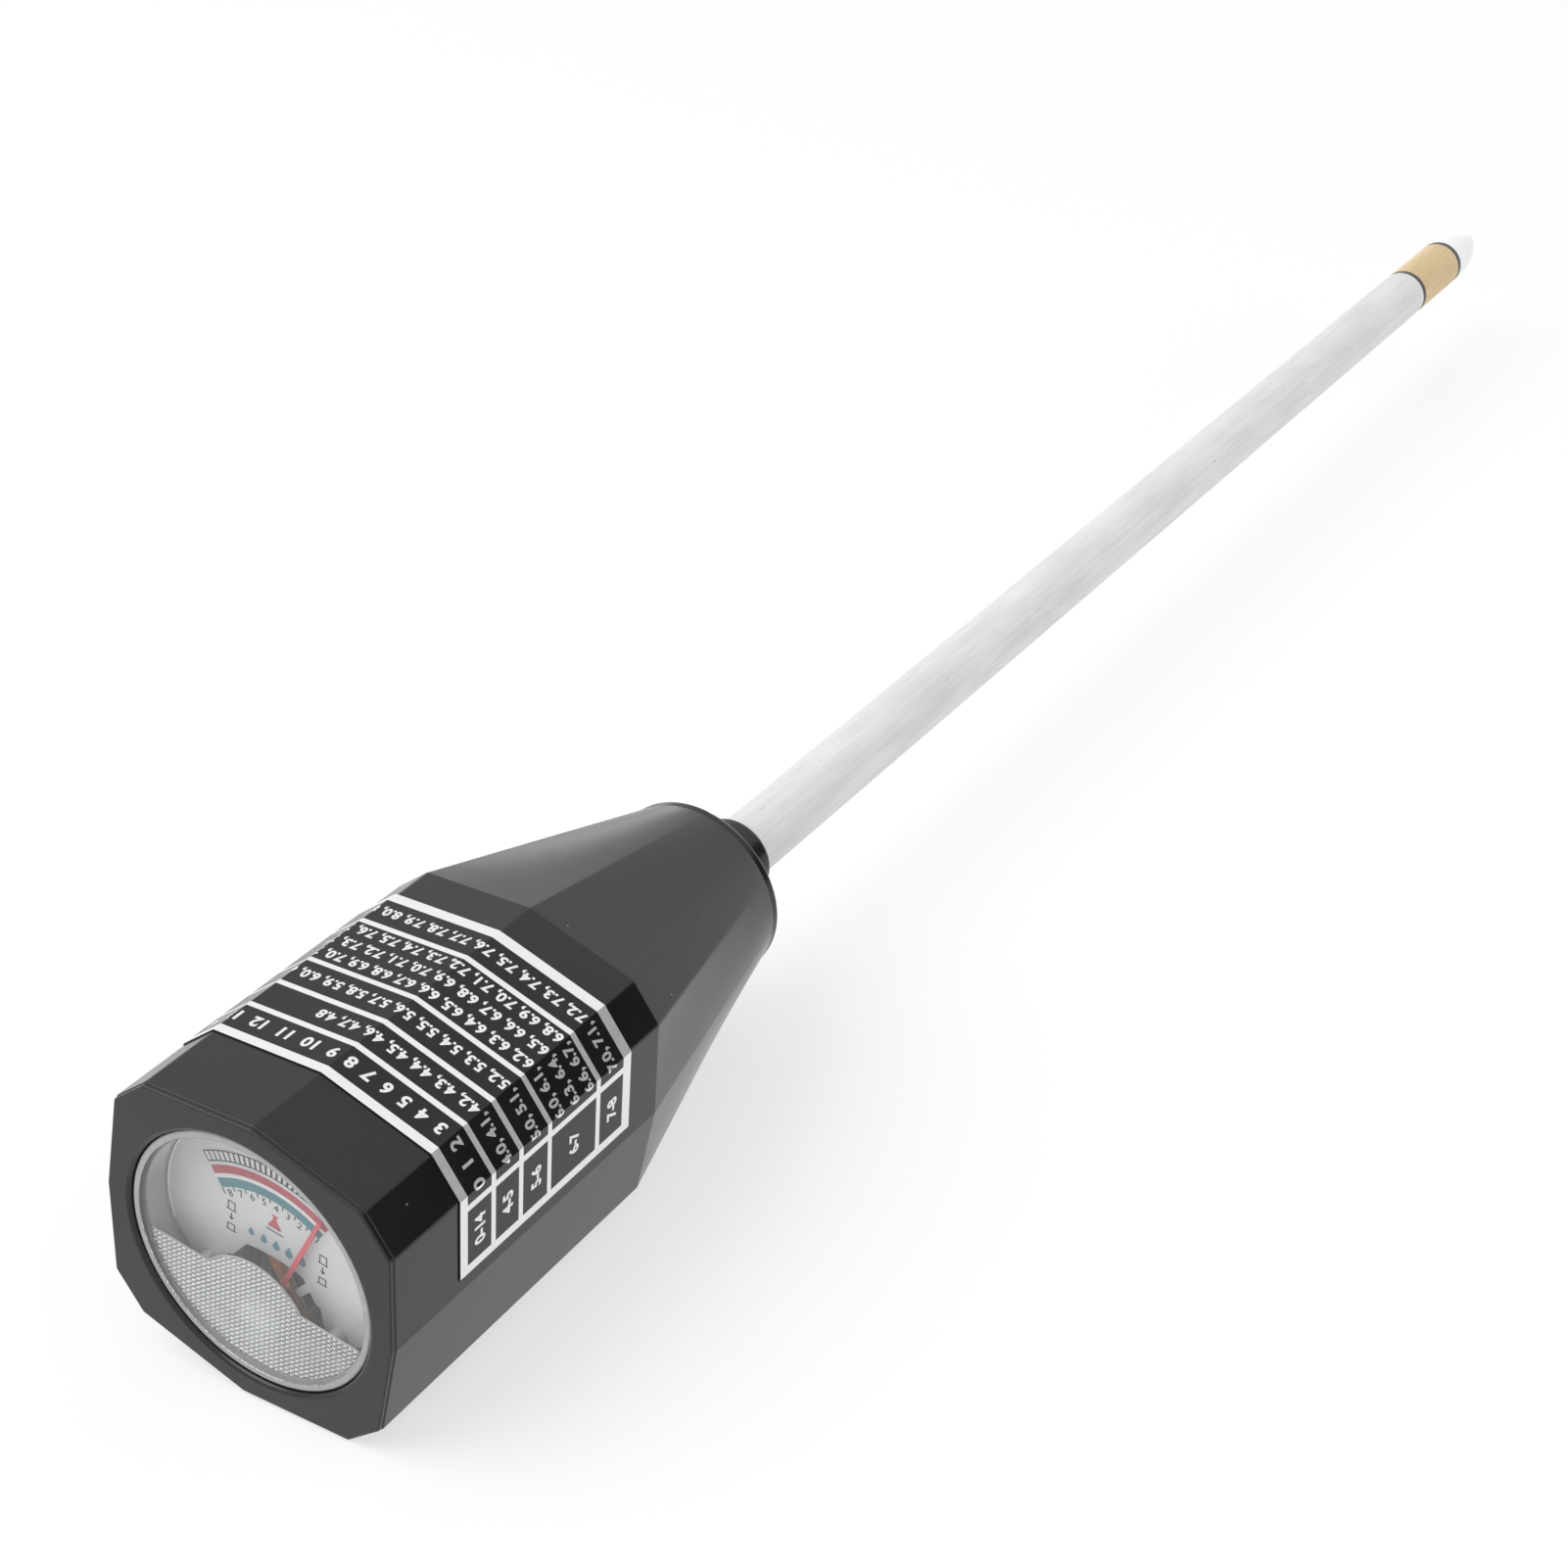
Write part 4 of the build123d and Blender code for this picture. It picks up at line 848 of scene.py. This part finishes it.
# Painted light: the skirt is painted lighter towards the top of the window.
painted_light_to_top = ramp(along(wire, upward), 1.0 * MM, 8.5 * MM)
coat(wire, {
    "Base Color": tint(behind_disc, collar_tone, tint(painted_light_to_top, painted_dim_tone, painted_lit_tone)),
    "Roughness": 0.3 + 0.12 * streaks,
})
step = cup_front + COLLAR_DEEP
disc = spun([(0.0, cup_front), (COLLAR_IN - PLAY, cup_front), (COLLAR_IN - PLAY, step + PLAY),
             (DISC_EDGE, step + PLAY), (DISC_EDGE, WINDOW_BACK), (0.0, WINDOW_BACK)])
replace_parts(show("window_disc", disc, "clear_plastic"), "meter_cover")
rim = spun([(RIM_IN, WINDOW_BACK + PLAY), (DISC_EDGE + PLAY, WINDOW_BACK + PLAY), (DISC_EDGE + PLAY, step),
            (COLLAR_IN, step), (COLLAR_IN, cup_front), *rounded(RIM_OUT, cup_front, COLLAR_DEEP),
            (RIM_OUT, FLANGE[0]), (flange, FLANGE[0]), (flange, FLANGE[1]), (RIM_OUT, FLANGE[1]),
            (RIM_OUT, cup_end), (RIM_IN, cup_end)])
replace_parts(show("window_rim", rim, "rim_plastic"), "meter_cover")

# %% [markdown]
# ## The window's pattern
#
# The lower part of the window is moulded with rows of small domes, which hide the movement and catch the
# light as bright dots. A bump in the shader would vanish at the edge, so the domes are real: a fine grid
# whose height rises and falls with the rows, kept inside the window's rim and a round arch over the pivot.
# The finish paints a highlight on each dome and shade between the domes, worked out from the same rows, and
# a soft haze of light in patches and round the middle. It is painted darker to the right, where less light
# falls.
# A smooth bead closes the upper edge.

# %% Finish with a painted highlight on each dome
PITCH = (0.76, 0.73)
# Middle and size of the painted haze of light, and where the painted shade to the right starts and fades.
PAINTED_HAZE_MIDDLE, PAINTED_HAZE_SIZE = (0.8, -9.0), (1.0, 5.0)
LEFT_END, LEFT_FADE = (-14.0, -6.0), (14.0, 26.0)


def row_wave(wire, direction, pitch):
    """A wave from -1 to 1 with one crest to each row."""
    return wire.sum_of("COSINE", along(wire, direction) * (2 * math.pi / (pitch * MM)), 0.0)


def distance_from(wire, w, v):
    """How far a point lies from a place on the window's back, in metres."""
    return wire.node("ShaderNodeVectorMath", {"operation": "DISTANCE"},
                     {0: place_on(wire), 1: tuple(at(w, v, WINDOW_BACK))}, out="Value")


wire = new_finish("pattern_plastic")
cloud = grain(wire, 300.0, 3.0)
# Patches of painted haze of light.
painted_haze_patches = ramp(grain(wire, 170.0, 2.0), 0.5, 0.75)
columns, rows = row_wave(wire, across, PITCH[0]), row_wave(wire, upward, PITCH[1])
# Painted highlight on each dome and painted shade in the valleys between them.
painted_dome_glint = ramp(columns * rows + 0.25 * columns + 0.3 * rows, -0.9, 1.1)
painted_haze_spot = 1.0 - ramp(distance_from(wire, *PAINTED_HAZE_MIDDLE), PAINTED_HAZE_SIZE[0] * MM, PAINTED_HAZE_SIZE[1] * MM)
# Painted shade that deepens to the right.
painted_shade_to_right = ramp(distance_from(wire, *LEFT_END), LEFT_FADE[0] * MM, LEFT_FADE[1] * MM)
painted_valley_shade = tint(painted_shade_to_right, (0.085, 0.087, 0.087), (0.012, 0.013, 0.013))
left_glint = tint(cloud, (0.86, 0.87, 0.87), (0.98, 0.985, 0.985))
right_glint = tint(cloud, (0.74, 0.75, 0.75), (0.86, 0.865, 0.865))
dots = tint(painted_dome_glint, painted_valley_shade, tint(painted_shade_to_right, left_glint, right_glint))
painted_haze_tone = tint(painted_haze_spot, tint(cloud, (0.46, 0.47, 0.47), (0.6, 0.61, 0.61)), (0.74, 0.75, 0.75))
coat(wire, {
    "Base Color": tint(0.3 * painted_haze_patches + 0.3 * painted_haze_spot, dots, painted_haze_tone),
    "Roughness": 0.22 + 0.12 * cloud,
})
print("rows of domes, in mm:", PITCH)

# %% Domes behind the window
PATTERN_RIM, PATTERN_TOP = 16.6, -4.8
ARCH_MIDDLE, ARCH_RADIUS = (0.15, -9.3), 8.3
DOME_TOP, DOME_FOOT, PATTERN_BACK = 0.02, 0.2, 0.34
PER_DOME = 6


def in_pattern(w, v):
    arch = math.hypot(w - ARCH_MIDDLE[0], v - ARCH_MIDDLE[1]) < ARCH_RADIUS
    return math.hypot(w, v) < PATTERN_RIM and (v < PATTERN_TOP or arch)


def dome(w, v):
    """How far back the front of the pattern lies: domes in rows, each a rounded hump."""
    lift = 0.5 + 0.5 * math.cos(2 * math.pi * w / PITCH[0]) * math.cos(2 * math.pi * v / PITCH[1])
    return WINDOW_BACK + DOME_FOOT + (DOME_TOP - DOME_FOOT) * lift


def held(w, v):
    """A point of the grid, drawn back to the pattern's outline where it lies outside."""
    inside = min(1.0, PATTERN_RIM / max(math.hypot(w, v), 0.001))
    w, v = w * inside, v * inside
    away = math.hypot(w - ARCH_MIDDLE[0], v - ARCH_MIDDLE[1])
    if v <= PATTERN_TOP or away <= ARCH_RADIUS:
        return w, v
    if v - PATTERN_TOP < away - ARCH_RADIUS:
        return w, PATTERN_TOP
    pull = ARCH_RADIUS / away
    return ARCH_MIDDLE[0] + (w - ARCH_MIDDLE[0]) * pull, ARCH_MIDDLE[1] + (v - ARCH_MIDDLE[1]) * pull


def dome_sheet():
    sheet = bmesh.new()
    steps = [p / PER_DOME for p in PITCH]
    reach = [math.ceil(PATTERN_RIM / p) for p in steps]
    front, rear = {}, {}

    def corner(grid, i, j, depth):
        if (i, j) not in grid:
            w, v = i * steps[0], j * steps[1]
            grid[i, j] = sheet.verts.new(at(*held(w, v), depth(w, v)))
        return grid[i, j]

    def flat_back(w, v):
        return WINDOW_BACK + PATTERN_BACK

    cells = {(i, j) for i in range(-reach[0], reach[0]) for j in range(-reach[1], 0)
             if in_pattern((i + 0.5) * steps[0], (j + 0.5) * steps[1])}
    for i, j in sorted(cells):
        ring = [(i, j), (i + 1, j), (i + 1, j + 1), (i, j + 1)]
        sheet.faces.new([corner(front, a, b, dome) for a, b in ring])
        sheet.faces.new([corner(rear, a, b, flat_back) for a, b in reversed(ring)])
        for k, (di, dj) in enumerate([(0, -1), (1, 0), (0, 1), (-1, 0)]):
            if (i + di, j + dj) not in cells:
                a, b = ring[k], ring[(k + 1) % 4]
                sheet.faces.new([front[b], front[a], rear[a], rear[b]])
    return sheet


show("window_pattern", dome_sheet(), "pattern_plastic", sharp=60)


# %% Beads along the pattern and round the dial
def bead(path, s, radius, sides=10):
    """A closed round bead along points (w, v) of one plane, s mm back from the face."""
    form = bmesh.new()
    points = [Vector(p) for p in path]
    rings = []
    for i, p in enumerate(points):
        run = (points[min(i + 1, len(points) - 1)] - points[max(i - 1, 0)]).normalized()
        side = Vector((-run.y, run.x))
        turns = [2 * math.pi * k / sides for k in range(sides)]
        rings.append([form.verts.new(at(*(p + side * (radius * math.cos(a))), s + radius * math.sin(a)))
                      for a in turns])
    for near, far in zip(rings, rings[1:]):
        for k in range(sides):
            form.faces.new([near[k - 1], near[k], far[k], far[k - 1]])
    form.faces.new(rings[0])
    form.faces.new(reversed(rings[-1]))
    return form


def arc(middle, radius, first, last, count):
    turns = [math.radians(first + (last - first) * k / count) for k in range(count + 1)]
    return [(middle[0] + radius * math.cos(a), middle[1] + radius * math.sin(a)) for a in turns]


BEAD_BACK, BEAD_RADIUS, BEAD_SHORT = 0.16, 0.13, 0.25
EDGE_IN, EDGE_LIFT, EDGE_RADIUS = 0.2, 0.08, 0.15
corner_turn = math.degrees(math.asin((PATTERN_TOP - ARCH_MIDDLE[1]) / ARCH_RADIUS))
side_end = math.sqrt(PATTERN_RIM ** 2 - PATTERN_TOP ** 2) - BEAD_SHORT
over = [(-side_end, PATTERN_TOP), *arc(ARCH_MIDDLE, ARCH_RADIUS, 180 - corner_turn, corner_turn, 48),
        (side_end, PATTERN_TOP)]
show("pattern_bead", bead(over, WINDOW_BACK + BEAD_BACK, BEAD_RADIUS), "rim_plastic")
dial_low, dial_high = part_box("dial_plate")
dial_half = 500 * (dial_high.x - dial_low.x) - EDGE_IN
# The bead round the dial is near-white bare metal: the plate's real bare edge, painted bright as the highlight
# on its rounded rim.
edge = bead(arc((0.0, 0.0), dial_half, 200, -20, 110), DIAL_FRONT - EDGE_LIFT, EDGE_RADIUS)
show("dial_edge_highlight", edge, "bare_edge_highlight")

# %% [markdown]
# ## The blade under the button
#
# The side button presses a springy bronze blade, which is riveted down at its other end. The imported blade is
# stiff, so a pressed button would pass through it. A bone or a blend could bend it. Here a copy of the blade
# is only cut into short lengths near the button, and it is shown in place of the imported blade.

# %% A blade cut into lengths
BEND_START, BEND_END, BEND_CUTS = 5.0, 1.6, 14
button_low, button_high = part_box("switch_button")
plunger = Vector((0.0, (button_low.y + button_high.y) / 2, 0.0))
blade_mesh = frame["nodes"]["contact_blade"].data.copy()
blade_mesh.name = "bending_blade"
leaf = bmesh.new()
leaf.from_mesh(blade_mesh)
for k in range(BEND_CUTS + 1):
    cut = plunger + back * (BEND_END + (BEND_START - BEND_END) * k / BEND_CUTS) * MM
    everything = leaf.verts[:] + leaf.edges[:] + leaf.faces[:]
    bmesh.ops.bisect_plane(leaf, geom=everything, plane_co=cut, plane_no=back, dist=0.000001)
leaf.to_mesh(blade_mesh)
leaf.free()
blade_mesh.shade_flat()
blade = bpy.data.objects.new("bending_blade", blade_mesh)
bpy.context.scene.collection.objects.link(blade)
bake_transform(blade)
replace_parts(blade, "contact_blade")
print("bending_blade faces:", len(blade_mesh.polygons))

# %% [markdown]
# ## Floor and light
#
# The tester lies on a plain white sweep under soft light. The world gives an even glow, and one large lamp
# from the upper left gives the forms a side. Two weak ones help it: a low strip behind, which the tapered end
# mirrors, and a fill on the right, which gloss does not see and which keeps the probe's far side light.
# The floor is lit like everything else, so it keeps the soft shadow. A good share of what the camera and
# mirrors see of it is plain white, and far away all of it is, so the floor runs into the background.

# %% World and lamps
GLOW = 0.68
LAMPS = {
    "key_lamp": ("DISK", 1.3, 1.3, 12.0, (-0.55, -0.75, 1.1), (0.0, -0.1, 0.0)),
    "back_panel": ("RECTANGLE", 0.95, 0.2, 0.55, (-0.45, 0.75, 0.1), (0.0, -0.1, 0.02)),
    "side_fill": ("RECTANGLE", 0.6, 0.25, 0.5, (0.5, 0.3, 0.25), (0.0, 0.22, 0.02)),
}
SEEN_BY_GLOSS = ("key_lamp", "back_panel")


def seen_directly(wire):
    """1 for rays from the camera, from gloss and through clear plastic, 0 for light that only falls."""
    kinds = ("Camera", "Glossy", "Transmission")
    rays = [wire.node("ShaderNodeLightPath", out=f"Is {kind} Ray") for kind in kinds]
    return wire.node("ShaderNodeMath", {"operation": "MINIMUM"}, {0: rays[0] + rays[1] + rays[2], 1: 1.0})


world = bpy.data.worlds.new("studio")
bpy.context.scene.world = world
world.use_nodes = True
world.node_tree.nodes.clear()
wire = Wire(world.node_tree)
glow = wire.node("ShaderNodeBackground", None,
                 {"Color": (1.0, 1.0, 1.0, 1.0), "Strength": GLOW + (1.0 - GLOW) * seen_directly(wire)})
wire.node("ShaderNodeOutputWorld", None, {"Surface": glow})

for name, (shape, width, height, watts, place, aim) in LAMPS.items():
    lamp = bpy.data.objects.new(name, bpy.data.lights.new(name, "AREA"))
    bpy.context.scene.collection.objects.link(lamp)
    lamp.data.shape, lamp.data.size, lamp.data.size_y, lamp.data.energy = shape, width, height, watts
    lamp.location = place
    lamp.rotation_euler = (Vector(aim) - lamp.location).to_track_quat("-Z", "Y").to_euler()
    lamp.visible_camera = False
    lamp.visible_glossy = name in SEEN_BY_GLOSS
print("lamps:", list(LAMPS))

# %% Floor
FLOOR_RADIUS, FLOOR_WHITE, GLOSS_WHITE, FADE = 6.0, 0.64, 0.18, (0.5, 1.1)
floor_mesh = bpy.data.meshes.new("floor")
sheet = bmesh.new()
bmesh.ops.create_circle(sheet, cap_ends=True, segments=96, radius=FLOOR_RADIUS)
sheet.to_mesh(floor_mesh)
sheet.free()
floor = bpy.data.objects.new("floor", floor_mesh)
bpy.context.scene.collection.objects.link(floor)
floor.location.z = cad_low.z - 0.0002
wire = new_finish("floor")
matt = wire.node("ShaderNodeBsdfDiffuse", None, {"Color": (0.95, 0.95, 0.95, 1.0)})
white = wire.node("ShaderNodeEmission", None, {"Color": (1.0, 1.0, 1.0, 1.0), "Strength": 1.0})
by_gloss = wire.node("ShaderNodeLightPath", out="Is Glossy Ray")
away = wire.node("ShaderNodeVectorMath", {"operation": "LENGTH"}, {0: place_on(wire)}, out="Value")
far = ramp(away, *FADE)
share = (FLOOR_WHITE + (1.0 - FLOOR_WHITE) * far) * seen_directly(wire) + GLOSS_WHITE * (1.0 - far) * by_gloss
both = wire.node("ShaderNodeMixShader", None, {0: share, 1: matt, 2: white})
wire.node("ShaderNodeOutputMaterial", None, {"Surface": both})
floor_mesh.materials.append(finishes["floor"])
bpy.context.scene.view_settings.view_transform = "Standard"
print("floor at z =", round(floor.location.z, 5))

# %% [markdown]
# ## A dark card for the edges
#
# In the photograph the narrow chamfer on the head's right is almost black, because it mirrors a dark part of
# the room. Painting it darker would be wrong from every other side. A photographer would stand a black card
# there, low and far back on the right, and that is done here: only gloss sees the card.

# %% Stand the card
CARD_WIDE, CARD_HIGH, CARD_TURN = 0.6, 0.42, -42
CARD_FROM, CARD_AWAY = (0.0, 0.0, 30.0), (0.67, 0.51, 0.19)
card_mesh = bpy.data.meshes.new("dark_card")
sheet = bmesh.new()
bmesh.ops.create_grid(sheet, x_segments=2, y_segments=2, size=0.5)
sheet.to_mesh(card_mesh)
sheet.free()
card = bpy.data.objects.new("dark_card", card_mesh)
bpy.context.scene.collection.objects.link(card)
card.scale = (CARD_WIDE, CARD_HIGH, 1.0)
card.location = at(*CARD_FROM) + Vector(CARD_AWAY)
card.rotation_euler = (math.radians(90), 0.0, math.radians(CARD_TURN))
card.visible_camera = card.visible_diffuse = card.visible_shadow = card.visible_transmission = False
wire = new_finish("dark_card")
wire.node("ShaderNodeOutputMaterial", None,
          {"Surface": wire.node("ShaderNodeBsdfDiffuse", None, {"Color": (0.01, 0.01, 0.01, 1.0)})})
card_mesh.materials.append(finishes["dark_card"])
print("the card stands", round((card.location - face).length, 2), "m from the face")
